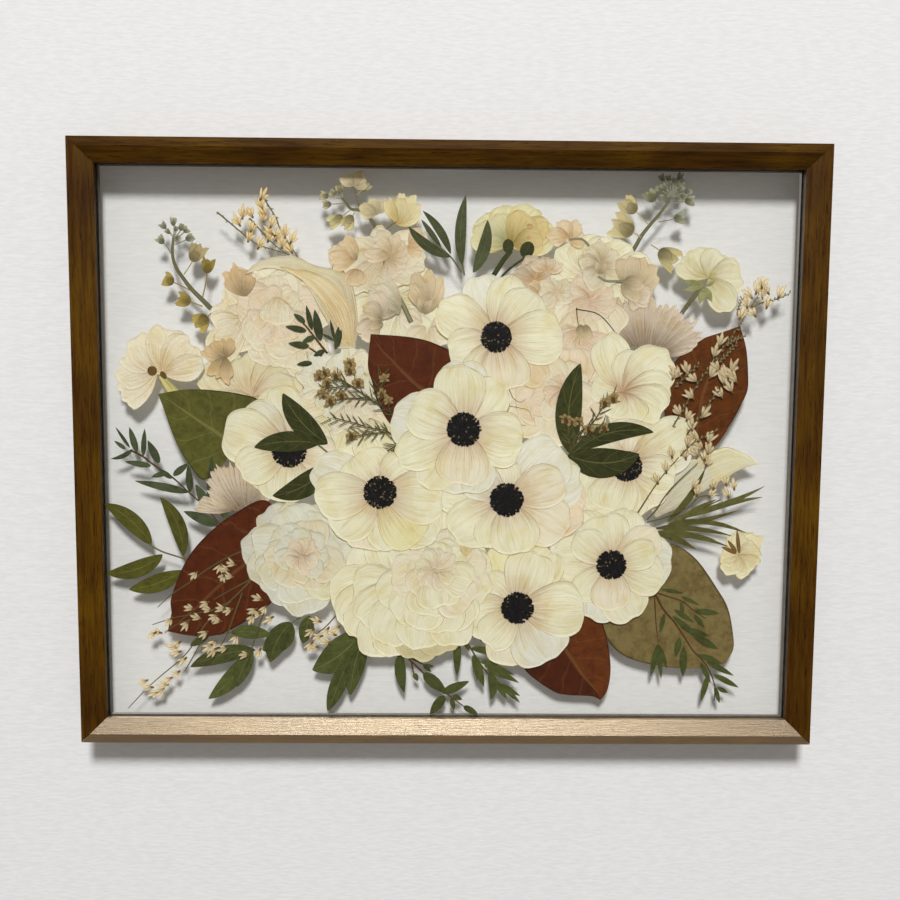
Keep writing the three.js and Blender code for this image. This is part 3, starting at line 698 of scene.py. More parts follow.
# %%
# Translucent rose
rose = Specimen("translucent_rose")
ROSE_LEFT = (-107, -79)
petals(rose, "sheer",
       fan(ROSE_LEFT, (-133, -44, 30), (-150, -72, 36), (-145, -94, 32), (-130, -112, 34), (-104, -123, 38),
           (-84, -106, 34), (-68, -84, 30), (-68, -64, 32), (-82, -46, 36), (-110, -40, 36)), GREY_WHITE)
petal_ring(rose, "sheer", ROSE_LEFT, 7, 36, 34, 10, [GREY_WHITE, GREY_WHITE, CREAM])
petal_ring(rose, "sheer", ROSE_LEFT, 7, 28, 27, 30, [GREY_WHITE, IVORY])
petal_ring(rose, "sheer", ROSE_LEFT, 7, 20, 18, 0, [GREY_WHITE, IVORY], 0.05)
petal_ring(rose, "crinkled", ROSE_LEFT, 9, 13, 12, 20, [IVORY, BLUSH], 0.06, PINK * 0.85)
rose.finish("blush_petal")

# %%
# Blush rose
rose = Specimen("blush_rose")
petals(rose, "petal", [
    (-40, -98, -64, -68, 42), (-36, -98, -46, -60, 40),
    (-40, -98, -85, -112, 44), (-40, -98, -79, -130, 38), (-40, -104, -68, -141, 38),
    (-38, -106, -57, -153, 34), (-34, -106, -41, -154, 34)], CREAM)
petals(rose, "petal", [(-20, -108, -24, -157, 36), (-10, -104, -6, -153, 34)], rgb(226, 218, 176))
petals(rose, "petal", [
    (-30, -100, -70, -106, 40), (-30, -100, -64, -128, 36), (-26, -100, -48, -143, 38),
    (-16, -100, -20, -148, 40), (-6, -100, 6, -146, 34), (-7, -92, -5, -45, 34)], CREAM)
ROSE_MIDDLE = (-7, -92)
petals(rose, "petal",
       fan(ROSE_MIDDLE, (-40, -66, 34), (-10, -58, 36), (22, -66, 32), (31, -86, 32), (29, -108, 34),
           (14, -131, 34), (-50, -112, 36), (-38, -125, 34), (-6, -137, 38), (-22, -134, 30)), CREAM)
petal_ring(rose, "petal", ROSE_MIDDLE, 6, 34, 38, 15, [CREAM, IVORY])
petal_ring(rose, "petal", ROSE_MIDDLE, 6, 25, 29, 40, [CREAM, IVORY])
petal_ring(rose, "crinkled", (-9, -88), 9, 16, 13, 10, [CREAM, IVORY], 0.06, BLUSH)
rose.blades("petal", [(13, -62, 13, -78, 10)], rgb(238, 222, 178), (0.5, 0.5), (8, 7))
rose.finish("blush_petal")

# %%
# Garden rose
rose = Specimen("garden_rose")
ROSE_RIGHT = (80.6, 42)
petals(rose, "petal",
       fan(ROSE_RIGHT, (34, 30, 40), (42, 54, 34), (62, 66, 32), (86, 67, 34), (108, 58, 32), (115, 36, 36),
           (108, 14, 34), (84, 3, 38), (60, 7, 34), (44, 14, 32)), IVORY)
petal_ring(rose, "petal", ROSE_RIGHT, 6, 33, 36, 20, [BLUSH, IVORY])
petal_ring(rose, "petal", ROSE_RIGHT, 5, 23, 26, 45, [BLUSH, IVORY])
petal_ring(rose, "crinkled", ROSE_RIGHT, 7, 13, 12, 0, [IVORY, BLUSH], 0.06, PINK)
# Thin lines along the petal edges: partly browned edges, partly painted shadow where petals overlap.
for line in ([(30, 44), (36, 45), (40, 39), (42, 32), (50, 30), (57, 28), (60, 22)],
             [(42, 45), (46, 37), (51, 34), (55, 36)], [(38, 23), (45, 25), (48, 19), (55, 17)]):
    rose.stem(line, 0.7, 0.3, EDGE_BROWN_AND_SHADOW)
rose.finish("pink_petal")

# %%
# Crumpled rose
rose = Specimen("crumpled_rose")
ROSE_UPPER = (-124, 96)
petals(rose, "crinkled",
       fan(ROSE_UPPER, (-168, 102, 36), (-160, 119, 32), (-140, 126, 34), (-112, 124, 32), (-92, 112, 30),
           (-88, 92, 34), (-98, 72, 34), (-118, 62, 36), (-146, 66, 40), (-165, 80, 34)), IVORY, 0.07)
petals(rose, "crinkled", [(-112, 92, -100, 55, 34), (-122, 90, -120, 58, 36)], IVORY, 0.07)
petals(rose, "crinkled", [(-146, 96, -172, 62, 26), (-150, 92, -170, 84, 24)], IVORY, 0.1)
petal_ring(rose, "crinkled", ROSE_UPPER, 5, 30, 40, 15, [IVORY, BLUSH], 0.05)
petal_ring(rose, "crinkled", ROSE_UPPER, 4, 20, 28, 40, [BLUSH, IVORY], 0.05)
petals(rose, "crinkled", [(-124, 108, -124, 88, 26)], IVORY, 0.05)
petals(rose, "crinkled", fan((-146, 108), (-161, 123, 12), (-153, 129, 12), (-143, 125, 10)),
       rgb(240, 212, 168), 0.1, GREY_GREEN * 0.5, 0.55)
rose.finish("blush_petal")

# %% [markdown]
# ## White and blush flowers behind the anemones
# Looser flowers fill the gaps. They were pressed open, sideways or from the back, so no ring or other
# rule fits them, and each one is a handful of wide petals listed one by one.

# %%
# White flower and loose petals
flower = Specimen("white_flower_upper")
petals(flower, "petal", [
    (-42, 105, -74, 112, 34), (-42, 105, -60, 133, 34), (-42, 105, -34, 138, 36), (-42, 105, -12, 122, 36),
    (-42, 105, -72, 88, 32), (-42, 105, -10, 96, 34), (-40, 100, -50, 72, 34), (-36, 98, -22, 74, 34)], CREAM)
petals(flower, "crinkled", [(-20, 90, -34, 96, 16), (-14, 88, 5, 92, 20), (-18, 88, -30, 76, 16),
                            (-14, 88, -6, 73, 18)], IVORY, 0.1)
flower.finish("white_petal")

flower = Specimen("white_petals_right")
petals(flower, "petal", [
    (100, 124, 72, 128, 30), (100, 124, 78, 144, 28), (100, 124, 97, 153, 30), (104, 124, 114, 152, 28),
    (106, 122, 132, 143, 32), (108, 118, 146, 130, 32), (108, 116, 145, 112, 30), (102, 116, 120, 100, 30),
    (98, 116, 84, 102, 34)], CREAM)
flower.finish("white_petal")

# %%
# Veined flower and the floret beside it
flower = Specimen("veined_flower")
petals(flower, "petal",
       fan((-142, 36), (-179, 54, 26), (-166, 66, 26), (-142, 68, 32), (-120, 62, 28), (-106, 56, 30),
           (-110, 40, 34), (-116, 16, 30), (-150, 8, 32), (-172, 26, 26)), rgb(244, 238, 204), 0.05,
       heart=PINK)
flower.finish("blush_petal")

flower = Specimen("loose_floret", "veined_flower", lift=0.8)
petals(flower, "crinkled",
       fan((-161, 65), (-176, 70, 14), (-168, 77, 11), (-156, 77, 9), (-170, 50, 13), (-160, 47, 10)),
       rgb(240, 214, 170), 0.1, GREY_GREEN * 0.5, 0.5)
flower.finish("blush_petal")

# %%
# Crinkled flower
flower = Specimen("crinkled_flower")
petals(flower, "crinkled", fan((-72, 32), (-109, 50, 30), (-96, 66, 28), (-76, 72, 30)), GREY_WHITE, 0.1)
petals(flower, "crinkled", fan((-72, 32), (-54, 66, 30), (-40, 44, 32), (-42, 8, 34), (-110, 22, 34)),
       IVORY, 0.1)
petals(flower, "petal", [(-70, 22, -100, -2, 34), (-68, 22, -76, -10, 36), (-64, 22, -48, -9, 34)], CREAM,
       0.05)
petal_ring(flower, "crinkled", (-72, 34), 7, 24, 20, 0, [IVORY, GREY_WHITE], 0.15)
flower.finish("white_petal")

# %%
# Anemone from the side
flower = Specimen("anemone_side")
petals(flower, "petal",
       fan((125.6, 41.7), (104, 50, 28), (111, 82, 30), (130, 72, 24), (158, 68, 38), (160, 44, 30),
           (154, 24, 38), (132, 18, 30), (116, 24, 22)), CREAM, 0.03, heart=rgb(196, 136, 84), fade=0.26)
flower.finish("white_petal")

# %%
# Flowers from the back
flower = Specimen("back_flower_left")
petals(flower, "crinkled", fan((-210, 56), (-233, 30, 17), (-238, 37, 18), (-239, 48, 20), (-234, 66, 20)),
       IVORY, 0.05, heart=PEACH)
petals(flower, "crinkled", [(-208, 52, -222, 80, 30), (-206, 52, -202, 86, 30), (-206, 52, -184, 76, 30),
                            (-206, 52, -178, 60, 20)], IVORY, 0.05, heart=PEACH)
flower.stem([(-208, 51), (-203, 44), (-196, 36), (-190, 30)], 4, 13, rgb(214, 208, 140))
flower.blades("blossom", [(-214, 58, -214, 51, 7), (-208, 54, -204, 49, 4)], CALYX * 0.7, (0.5, 0.5), (7, 5))
flower.finish("white_petal")

flower = Specimen("back_flower_right")
petals(flower, "petal",
       fan((185, 124), (162, 134, 16), (174, 144, 22), (194, 142, 26), (209, 124, 30), (202, 102, 22)),
       rgb(244, 242, 212), 0.04, heart=rgb(206, 206, 140))
flower.stem([(182, 117), (175, 110.5), (166, 98)], 3.5, 3.0, STEM)
flower.blades("leaflet", [(182, 118, 167, 115, 4), (182, 119, 167, 122, 4), (182, 117, 179, 105, 5),
                          (183, 117, 188, 107, 5), (184, 118, 190, 122, 3)], rgb(172, 176, 124))
flower.finish("white_petal")

# %%
# Ranunculus
flower = Specimen("ranunculus")
petals(flower, "sheer",
       fan((42, 146), (14, 152, 20), (20, 164, 24), (40, 173, 28), (60, 171, 28), (74, 154, 26)),
       YELLOW_CREAM, 0.03)
petals(flower, "sheer", fan((42, 146), (18, 158, 18), (30, 166, 20), (24, 148, 12)),
       rgb(253, 248, 208), 0.03, heart=rgb(140, 156, 60), fade=0.6)
petals(flower, "sheer", fan((44, 146), (70, 160, 22), (54, 168, 24), (66, 150, 20)),
       rgb(248, 230, 172), 0.03, heart=rgb(160, 148, 56), fade=0.5)
flower.blades("petal", [(54, 159, 58, 159, 4), (54, 151, 57, 151, 3)], AMBER, (0.5, 0.5), (5, 5))
flower.stem([(43, 142), (37, 134), (28, 120)], 3.5, 3.5, DARK_GREEN)
flower.stem([(53, 137), (41, 128), (32, 118)], 1.6, 1.6, DARK_GREEN)
flower.stem([(50, 126), (44, 124), (36, 120)], 1.5, 1.5, DARK_GREEN)
flower.blades("leaflet", [(52, 137, 57, 148, 10), (48, 128, 56, 125, 5), (41, 140, 41, 150, 8)], DARK_GREEN,
              (0.5, 0.5))
flower.finish("cream_petal")

# %%
# Small dried flower
flower = Specimen("dried_flower")
petals(flower, "crinkled",
       fan((213, -77), (225, -61, 20), (212, -61, 18), (228, -75, 20), (224, -90, 20), (209, -92, 20),
           (201, -80, 16)), rgb(252, 246, 208), 0.1, heart=rgb(230, 214, 160))
flower.blades("blossom", [(214, -76, 211.7, -58, 3), (212, -76, 200.6, -71, 3), (212, -75, 205, -66, 3)],
              CALYX, (0.5, 0.8), (7, 3))
flower.finish("orange_petal")


# %% [markdown]
# ## Scabiosa
# A scabiosa head pressed from the side spreads its florets as a fan of fine pleats, dark at the base.
# It could be one sheet with a jagged rim. Here each pleat is a narrow petal of its own, because its
# edges catch the light.

# %%
# Scabiosa heads
def pleats(flower, start, end, tips, count, tint, heart):
    """Narrow overlapping petals from a base line to points on the curve through the tips."""
    foot = np.linspace(start, end, count) + dice.normal(0, 0.8, (count, 2))
    rim = even(tips, count) + dice.normal(0, 1.6, (count, 2))
    rows = [(*a, *b, 3.6 + 3 * dice.random(), 0.06 * (dice.random() - 0.5)) for a, b in zip(foot, rim)]
    flower.blades("crinkled", rows, tint, (0.7, 0.35), (14, 7), 0.05, heart, 0.48)


flower = Specimen("scabiosa_right")
pleats(flower, (130, 76), (158, 68),
       [(111, 96), (114, 106), (137, 109), (152, 105), (168, 96), (180, 82), (172, 72)], 44,
       rgb(240, 226, 206), rgb(112, 98, 88))
flower.finish("white_petal")
flower = Specimen("scabiosa_left")
pleats(flower, (-158, -46), (-140, -44),
       [(-186, -46), (-172, -30), (-171, -17), (-149, -12), (-133, -12), (-122, -18), (-128, -32)], 44,
       rgb(240, 226, 204), rgb(104, 96, 84))
flower.finish("white_petal")

# %% [markdown]
# ## Calla lilies
# A calla is one rolled sheet. Pressed, it is a smooth curved blade with lengthwise pleats and a
# narrow tail. Its middle line bends more than the parabola of a blade can, so two edges span it, as they
# do a broad leaf.

# %%
# Callas
flower = Specimen("calla_left", lift=0.25)
flower.leaf("sheer",
            [(-68, 72), (-66, 92), (-71, 119), (-81, 127), (-96, 130), (-114, 137), (-136, 133),
             (-147, 123)],
            [(-68, 72), (-82, 72), (-85, 84), (-93, 99), (-102, 115), (-111, 123), (-129, 128),
             (-147, 123)], rgb(246, 240, 210))
flower.leaf("petal", [(-68, 76), (-70, 100), (-84, 118), (-100, 126), (-122, 129)],
            [(-76, 76), (-84, 92), (-93, 106), (-104, 118), (-122, 129)], rgb(248, 234, 192), grid=(30, 9))
flower.finish("cream_petal")

flower = Specimen("calla_right")
flower.leaf("sheer",
            [(150, -46), (160, -24), (176, -8), (199, 2), (207, 1), (217, -3), (226, -9.4), (236, -8)],
            [(150, -46), (166, -44), (182, -33), (193, -26), (201, -21), (211, -15), (218, -12), (236, -8)],
            rgb(252, 248, 212))
flower.leaf("sheer", [(148, -44), (156, -26), (170, -10), (186, -4)],
            [(152, -50), (168, -42), (184, -32), (194, -24)], rgb(240, 240, 222), grid=(20, 9))
flower.finish("cream_petal")


# %% [markdown]
# ## Larkspur, stock and their buds
# Larkspur keeps its green stem, round buds on thin stalks and a few open florets. Stock florets are
# crumpled pink and peach petals on a grey-green calyx. A bud could be a small ball, but pressing folds
# it flat, so it is three ragged petals and a cup whose green fades towards the rim.

# %%
# Buds and florets
CUP_LENGTH = 0.35
CUP_WIDTH = 0.72
FOLD_WIDTH = 0.62


def buds(flower, rows, tint=rgb(166, 170, 148)):
    """Folded buds on stalks: rows are x, z, length, width and the stalk's foot."""
    for x, z, length, width, foot_x, foot_z in rows:
        away = np.array([x - foot_x, z - foot_z])
        away = away / max(np.hypot(*away), 0.1) * length / 2
        bend = ((x + foot_x) / 2 + 0.6, (z + foot_z) / 2)
        flower.stem([(foot_x, foot_z), bend, (x, z)], 0.9, 0.7, tint * 0.8)
        for lean in (-0.5, 0.5, 0.0):
            side = lean * width * np.array([-away[1], away[0]]) / np.hypot(*away)
            tip = (x + away[0] + side[0], z + away[1] + side[1])
            row = (x - away[0], z - away[1], *tip, width * FOLD_WIDTH)
            shade = tint * (0.8 + 0.4 * dice.random())
            flower.blades("crinkled", [row], shade, (0.5, 0.5), (9, 7), 0.1, BUD_BASE * 0.7, 0.5)
        tip = (x + CUP_LENGTH * away[0], z + CUP_LENGTH * away[1])
        row = (x - away[0], z - away[1], *tip, width * CUP_WIDTH)
        shade = BUD_BASE * (0.4 + 0.2 * dice.random())
        flower.blades("crinkled", [row], tint * 0.8, (0.5, 0.7), (9, 9), 0.08, shade, 0.8)


def floret(flower, centre, reach, count, turn, spread, tint, heart=None, tissue="crinkled", width=1.0):
    """Count ragged petals fanned over spread degrees about the direction turn."""
    for k in range(count):
        share = (k + 0.5) / count - 0.5
        direction = turn + spread * share + 6 * (dice.random() - 0.5)
        length = reach * (0.8 + 0.35 * dice.random())
        base = at(centre, 360 * dice.random(), 0.1 * reach * dice.random())
        broad = reach * width * (0.7 + 0.5 * dice.random())
        row = (*base, *at(centre, direction, length), broad, 0.2 * (dice.random() - 0.5))
        shade = tint * (0.9 + 0.1 * dice.random())
        flower.blades(tissue, [row], shade, (0.7, 0.42), (12, 13), 0.08, heart, 0.5)


def calyx(flower, rows):
    """Small soft sepals that are grey-green at their base."""
    flower.blades("crinkled", rows, PEACH * 0.95, (0.6, 0.7), (9, 7), 0.08, GREY_GREEN * 0.5, 0.55)


# %%
# Larkspur on the left
sprig = Specimen("larkspur_left")
sprig.stem([(-171, 99), (-178, 106), (-185, 113), (-191, 121), (-196, 129), (-198, 138), (-197, 149)], 3.6,
           1.8, STEM)
buds(sprig, [
    (-204, 157, 5, 4, -197, 149), (-197, 160, 6, 4, -197, 149), (-191, 156, 5, 4, -196, 149),
    (-188, 154, 4, 4, -196, 148), (-194, 149, 4, 3, -197, 146), (-201, 153, 4, 3, -197, 149),
    (-195, 155, 4, 3, -197, 149), (-185.6, 148.7, 6, 5, -196, 144), (-206, 147, 6, 5, -199, 138)])
buds(sprig, [(-181, 138, 13, 10, -190, 123)], rgb(206, 190, 140))
buds(sprig, [(-173, 129, 10, 8, -177, 107)], rgb(172, 152, 74))
buds(sprig, [(-201, 119, 8, 8, -186, 112), (-190, 105, 9, 9, -177, 100.6), (-178, 90, 11, 11, -171, 96)],
     rgb(186, 166, 92))
sprig.finish("blush_petal")

# %%
# Larkspur in the middle
sprig = Specimen("larkspur_centre")
sprig.stem([(-51, 150.6), (-54, 158), (-58, 164), (-64, 169), (-71, 170), (-75, 175), (-78, 178)], 3.2, 1.6,
           STEM)
sprig.stem([(-65, 171), (-67, 178), (-69, 185)], 1.2, 0.9, STEM)
buds(sprig, [(-61, 185.6, 8, 6, -67, 180), (-90, 179, 6, 5, -78, 177), (-88, 173, 6, 5, -76, 174),
             (-79, 184, 6, 5, -77, 178), (-84, 181, 5, 4, -78, 177)], rgb(190, 186, 150))
buds(sprig, [(-82, 162, 12, 7, -72, 169), (-73, 161, 11, 8, -68, 169)], rgb(222, 212, 156))
floret(sprig, (-69, 186), 11, 4, 80, 150, rgb(236, 222, 184), GREY_GREEN)
floret(sprig, (-52, 166), 12, 4, 120, 120, rgb(244, 232, 190), GREY_GREEN)
floret(sprig, (-38, 160), 21, 6, 72, 96, rgb(252, 242, 196), rgb(214, 200, 140), "petal", 0.6)
sprig.stem([(-39, 161), (-44, 158), (-48, 152)], 1.0, 1.0, STEM)
sprig.finish("cream_petal")

# %%
# Larkspur on the right
sprig = Specimen("larkspur_right")
sprig.stem([(120, 130), (131, 144), (136, 153), (143, 162), (149, 169), (156, 179)], 3.4, 1.8, STEM)
around = np.linspace(-40, 210, 13)
buds(sprig, [(*at((157, 184), turn, 7 + 2.5 * (k % 3)), 5.5, 3.4, 156, 181) for k, turn in enumerate(around)])
buds(sprig, [(*at((158, 188), turn, 4), 4, 3, 156, 182) for turn in (20, 80, 140)])
buds(sprig, [(142, 181, 9, 8, 150, 171), (163, 166, 8, 7, 148, 163), (170, 178, 7, 6, 156, 176)])
buds(sprig, [(127, 174, 13, 11, 141, 161), (123, 159, 16, 15, 136, 152)], rgb(222, 210, 160))
buds(sprig, [(155.6, 138.5, 16, 13, 143, 147)], rgb(212, 202, 150))
sprig.finish("cream_petal")

# %%
# Stock on the left
flowers = Specimen("stock_left")
floret(flowers, (-48, 134), 25, 8, 90, 330, IVORY, rgb(232, 214, 170))
flowers.stem([(-47, 134), (-46, 126), (-43, 117), (-36, 107), (-28, 91)], 2.6, 3.4, GREY_GREEN)
floret(flowers, (-44, 138), 16, 6, 60, 300, BLUSH, rgb(206, 186, 140))
floret(flowers, (-70, 132), 16, 3, 150, 90, PEACH, AMBER)
floret(flowers, (-68, 128), 14, 2, 262, 40, PEACH, AMBER)
floret(flowers, (-30, 146), 12, 3, 10, 120, PEACH, AMBER)
floret(flowers, (-36, 98), 26, 6, 148, 66, IVORY, GREY_GREEN, "crinkled", 0.5)
floret(flowers, (-49, 92), 18, 4, 170, 150, BLUSH, GREY_GREEN)
floret(flowers, (-19, 99), 24, 4, 92, 74, PEACH, rgb(140, 128, 96), "crinkled", 0.6)
calyx(flowers, [(-49, 92, -60, 96, 6), (-48, 90, -58, 86, 6), (-67, 134, -72, 142, 5),
                (-19, 98, -23, 108, 7), (-19, 98, -14, 107, 6)])
flowers.finish("pink_petal")

# %%
# Stock on the right
flowers = Specimen("stock_right")
petals(flowers, "petal", [(95, 110, 74, 84, 34), (102, 110, 114, 78, 40), (92, 104, 92, 74, 30)], IVORY, 0.07)
floret(flowers, (84, 150), 13, 4, 90, 240, PEACH, AMBER)
flowers.stem([(84, 150), (94, 150), (102, 142)], 1.6, 1.4, GREY_GREEN)
floret(flowers, (66, 112), 15, 5, 190, 240, BLUSH, AMBER)
floret(flowers, (60, 122), 16, 4, 110, 140, rgb(232, 218, 196), AMBER)
floret(flowers, (58, 110), 12, 3, 210, 120, PEACH, AMBER)
floret(flowers, (69, 128), 10, 3, 90, 160, BLUSH, AMBER)
floret(flowers, (100, 108), 20, 6, 90, 320, BLUSH, PINK)
floret(flowers, (76, 112), 12, 5, 90, 340, IVORY, PEACH)
floret(flowers, (107, 132), 16, 7, 90, 330, IVORY, rgb(176, 156, 112))
floret(flowers, (128, 117), 20, 5, 35, 150, PEACH, GREY_GREEN)
floret(flowers, (130, 112), 14, 3, 330, 90, BLUSH, GREY_GREEN)
floret(flowers, (95, 84), 20, 6, 255, 170, BLUSH, PINK)
calyx(flowers, [(124, 122, 134, 106, 12), (124, 121, 140, 118, 12), (93, 90, 96, 78, 8),
                (97, 90, 101, 79, 6), (107, 126, 104, 134, 5), (107, 126, 111, 134, 5)])
flowers.stem([(105.6, 124), (112, 121), (124, 121)], 1.6, 1.8, GREY_GREEN)
flowers.stem([(90, 101), (107, 97), (121, 82)], 0.7, 0.5, DARK_STEM)
flowers.stem([(90.6, 102), (91, 96), (92, 90)], 0.7, 0.5, DARK_STEM)
flowers.finish("pink_petal")


# %% [markdown]
# ## Ruscus and lance leaves
# Ruscus leaflets are firm pointed ovals on a wiry stem. They are too small for two listed edges
# each, so a row of base, tip, width and bend stands for one, and the blade formula gives its outline.

# %%
# Leaf groups: material, colour, leaves as (base x, base z, tip x, tip z, width, bend), stems as points
LEAF_GROUPS = {
    "ruscus_centre": ("green_leaf", DARK_GREEN, [
        (-88, 3, -120, 39, 17, 0.08), (-94, 3, -141, 0, 15, -0.06), (-87, -10, -128, -35, 17, 0.12)],
        [[(-96, 3), (-91, -1), (-85, -6)]]),
    "ruscus_right": ("green_leaf", DARK_GREEN, [
        (89, -4, 94, 62, 19, 0.08), (90, -2, 148, 13, 14, 0.12), (86, -4, 138, -3, 22, -0.12)],
        [[(89, -4), (84, -10)]]),
    "ruscus_left": ("green_leaf", OLIVE_GREEN,
        [(-217, -72, -250.5, -42, 13, -0.08), (-194, -80, -210, -37, 11.5, -0.1),
         (-209, -79, -250.5, -93, 12.5, 0.1), (-194, -91, -234, -105, 13, 0.06)],
        [[(-218, -72), (-209, -77), (-194, -82), (-184, -88)], [(-196, -91), (-186, -92)],
         [(-194, -80), (-190, -85)]]),
    "ruscus_bottom_left": ("green_leaf", LEAF_GREEN,
        [(-115.6, -129, -137, -150, 18, 0.1), (-115.6, -129, -131, -159, 16, -0.08),
         (-102, -124, -107, -145, 11, 0), (-62, -134, -100, -165, 24, 0.08),
         (-60, -136, -72, -184, 15, -0.05), (-74, -158, -89, -196, 12, 0),
         (-160, -137, -130, -139, 10, 0.05), (-142, -150, -190, -163, 13, -0.06),
         (-146, -152, -177, -187, 13, 0.06), (-144, -150, -156, -178, 12, -0.05),
         (-176, -139, -190, -147, 6, 0)],
        [[(-117, -131), (-110, -126), (-104, -120)], [(-61, -136), (-57, -130)],
         [(-178, -139), (-160, -137), (-150, -134)]]),
    "lance_leaves": ("green_leaf", rgb(84, 94, 62), [
        (0, 139, -20, 169, 6, -0.07), (-7, 144, -21, 163, 4, 0), (0, 137, -30, 158, 7.5, 0.09),
        (8.3, 131, 10.5, 180, 8, 0.05), (16, 126, 26, 163, 9, -0.08)],
        [[(-10.6, 146), (0, 137), (8, 126)], [(8.3, 132), (10, 124)]]),
}
SLOTS = {"ruscus_left": "olive_leaf", "lance_leaves": "olive_leaf"}
LIFTS = {"lance_leaves": 0.5}
for name, (tissue, tint, rows, stems) in LEAF_GROUPS.items():
    group = Specimen(name, lift=LIFTS.get(name, 0.0))
    for points in stems:
        group.stem(points, 1.3, 1.1, STEM)
    for row in rows:
        group.blades(tissue, [row], tint * (0.85 + 0.3 * dice.random()), (0.75, 0.85), (22, 11))
    group.finish(SLOTS.get(name, "green_leaf"))

# %% [markdown]
# ## Fine leafy sprigs
# Willow and the small sprigs carry narrow leaflets on a thin twig. A particle system could scatter
# them, but each sprig grew its own way, so its leaflets are rows too.

# %%
# Sprigs: colour, slot, leaflets as (base x, base z, tip x, tip z, width, perhaps bend), twigs as points
SPRIGS = {
    "willow_left": (rgb(82, 94, 66), "pale_leaf",
        [(-231, -1, -241, 14, 2.5), (-226, -4, -231, 14, 5), (-221.5, -7, -220, 13, 4),
         (-210, -12, -218, 4.5, 6), (-229, -2, -245, -9, 3.5, 0.1), (-216, -14, -235, -11, 4.5),
         (-201, -23, -211, -16, 4), (-200, -21, -189, -12, 5), (-189, -33, -228, -25, 6),
         (-188, -33, -189, -13, 5.5), (-173, -48, -184, -27, 8), (-173, -47, -172, -7, 7),
         (-162, -53, -168, -34, 6.5), (-168, -57, -193, -47, 8), (-234, -2, -242, 4, 3),
         (-205, -19, -216, -22, 4)],
        [[(-230, -3), (-222, -7), (-213, -14), (-201, -22), (-188, -34), (-177, -44), (-167, -56)]]),
    "willow_right": (rgb(106, 106, 58), "pale_leaf", [
        (165, -50, 231, -26, 4.6, -0.04), (175, -49, 230, -34, 4.2, 0.03), (160, -54, 219, -61, 4, 0.08),
        (152, -58, 208, -63, 4, 0.05), (152, -61, 206, -71, 4, 0.05), (150, -60, 182, -73, 5, 0.04),
        (160, -53, 187, -13, 5, -0.06), (168, -52, 196, -36, 4, 0.03), (152, -60, 196, -66, 3.6, 0.04),
        (158, -56, 212, -44, 3.6, -0.03)],
        [[(148, -59), (167, -53), (189, -41), (199, -36)]]),
    "sprig_upper_left": (rgb(76, 86, 58), "pale_leaf", [
        (-103, 84, -118, 87, 4.5), (-99, 85, -103, 102, 4), (-93, 77, -97, 99, 6.5), (-101, 73, -116, 75, 5),
        (-83, 78, -86, 92, 2.5), (-83, 77, -92, 82, 2.5), (-81, 72, -80, 87, 5), (-81, 74, -78, 85, 4),
        (-99, 61, -110, 60, 4), (-104, 90, -112, 96, 4), (-97, 80, -106, 76, 4), (-90, 70, -98, 66, 4)],
        [[(-88, 68), (-96, 78), (-103, 87), (-110, 94)], [(-92, 66), (-101, 72)], [(-82, 71), (-83, 78)]]),
    "sprig_bottom_left": (LEAF_GREEN, "green_leaf",
        [(-35, -150, -5.6, -148, 8.5, -0.05), (-35, -152, -32, -182, 8.5, -0.05), (-25, -167, -22, -173, 4),
         (-18, -161, -12, -166, 3), (-18, -161, -10, -162, 3), (-18, -167, -0.6, -182, 9),
         (-4, -182, 16, -173, 7), (-2, -184, -13, -198.5, 7.5), (12, -192, 23, -198.5, 5),
         (4, -184, 11, -187, 4), (3, -186, 5, -195, 4), (-30, -150, -20, -146, 5)],
        [[(-35, -150), (-27, -158), (-18, -167), (-8, -178), (0, -183), (12, -192)],
         [(-30, -154), (-17, -161)], [(-27, -158), (-25, -168)]]),
    "sprig_bottom_right": (LEAF_GREEN, "green_leaf",
        [(9, -132, 39, -126, 5.5, 0.05), (7, -141, 7, -169, 6), (17, -148, 48, -157, 6, 0.05),
         (19, -153, 27, -177, 7), (20, -154, 22, -173, 3), (27, -161, 49, -168, 5, 0.04),
         (29, -164, 53, -174, 5, 0.04), (31, -166, 32, -187, 7, 0.12), (39, -175, 54, -184, 4),
         (39, -175, 54, -189, 4), (22, -139, 33, -145, 4), (12, -141, 16, -150, 4), (36, -173, 44, -186, 5),
         (24, -158, 38, -160, 4)],
        [[(9, -132), (12, -141), (17, -148), (25, -161), (36, -173), (42, -178)],
         [(10, -136), (22, -139), (31, -144)]]),
}
for name, (tint, slot, rows, twigs) in SPRIGS.items():
    sprig = Specimen(name)
    for points in twigs:
        sprig.stem(points, 1.5, 0.8, TWIG)
    shades = tint * (0.8 + 0.4 * dice.random((len(rows), 1)))
    sprig.blades("leaflet", rows, shades, (0.6, 0.9), (9, 5))
    sprig.finish(slot)


# %% [markdown]
# ## Genista and waxflower
# Genista is a broom of wiry stems with small pale blossoms like half-open beaks. Waxflower has needle
# leaves and round brown buds with a pale rim. A blossom could be a small mesh that is copied, but all
# copies would look alike. So each is three narrow blades and a calyx, light enough for hundreds. A point
# places each one, and seeded chance turns it.

# %%
# Needles and brooms
BROOM_STEM = rgb(104, 98, 64)
SCALE_LEAF = rgb(162, 152, 118)
# lean in degrees, share of the length, width as a share of the size
BEAK = ((-30, 0.8, 0.26), (26, 0.85, 0.26), (0, 1.0, 0.32))


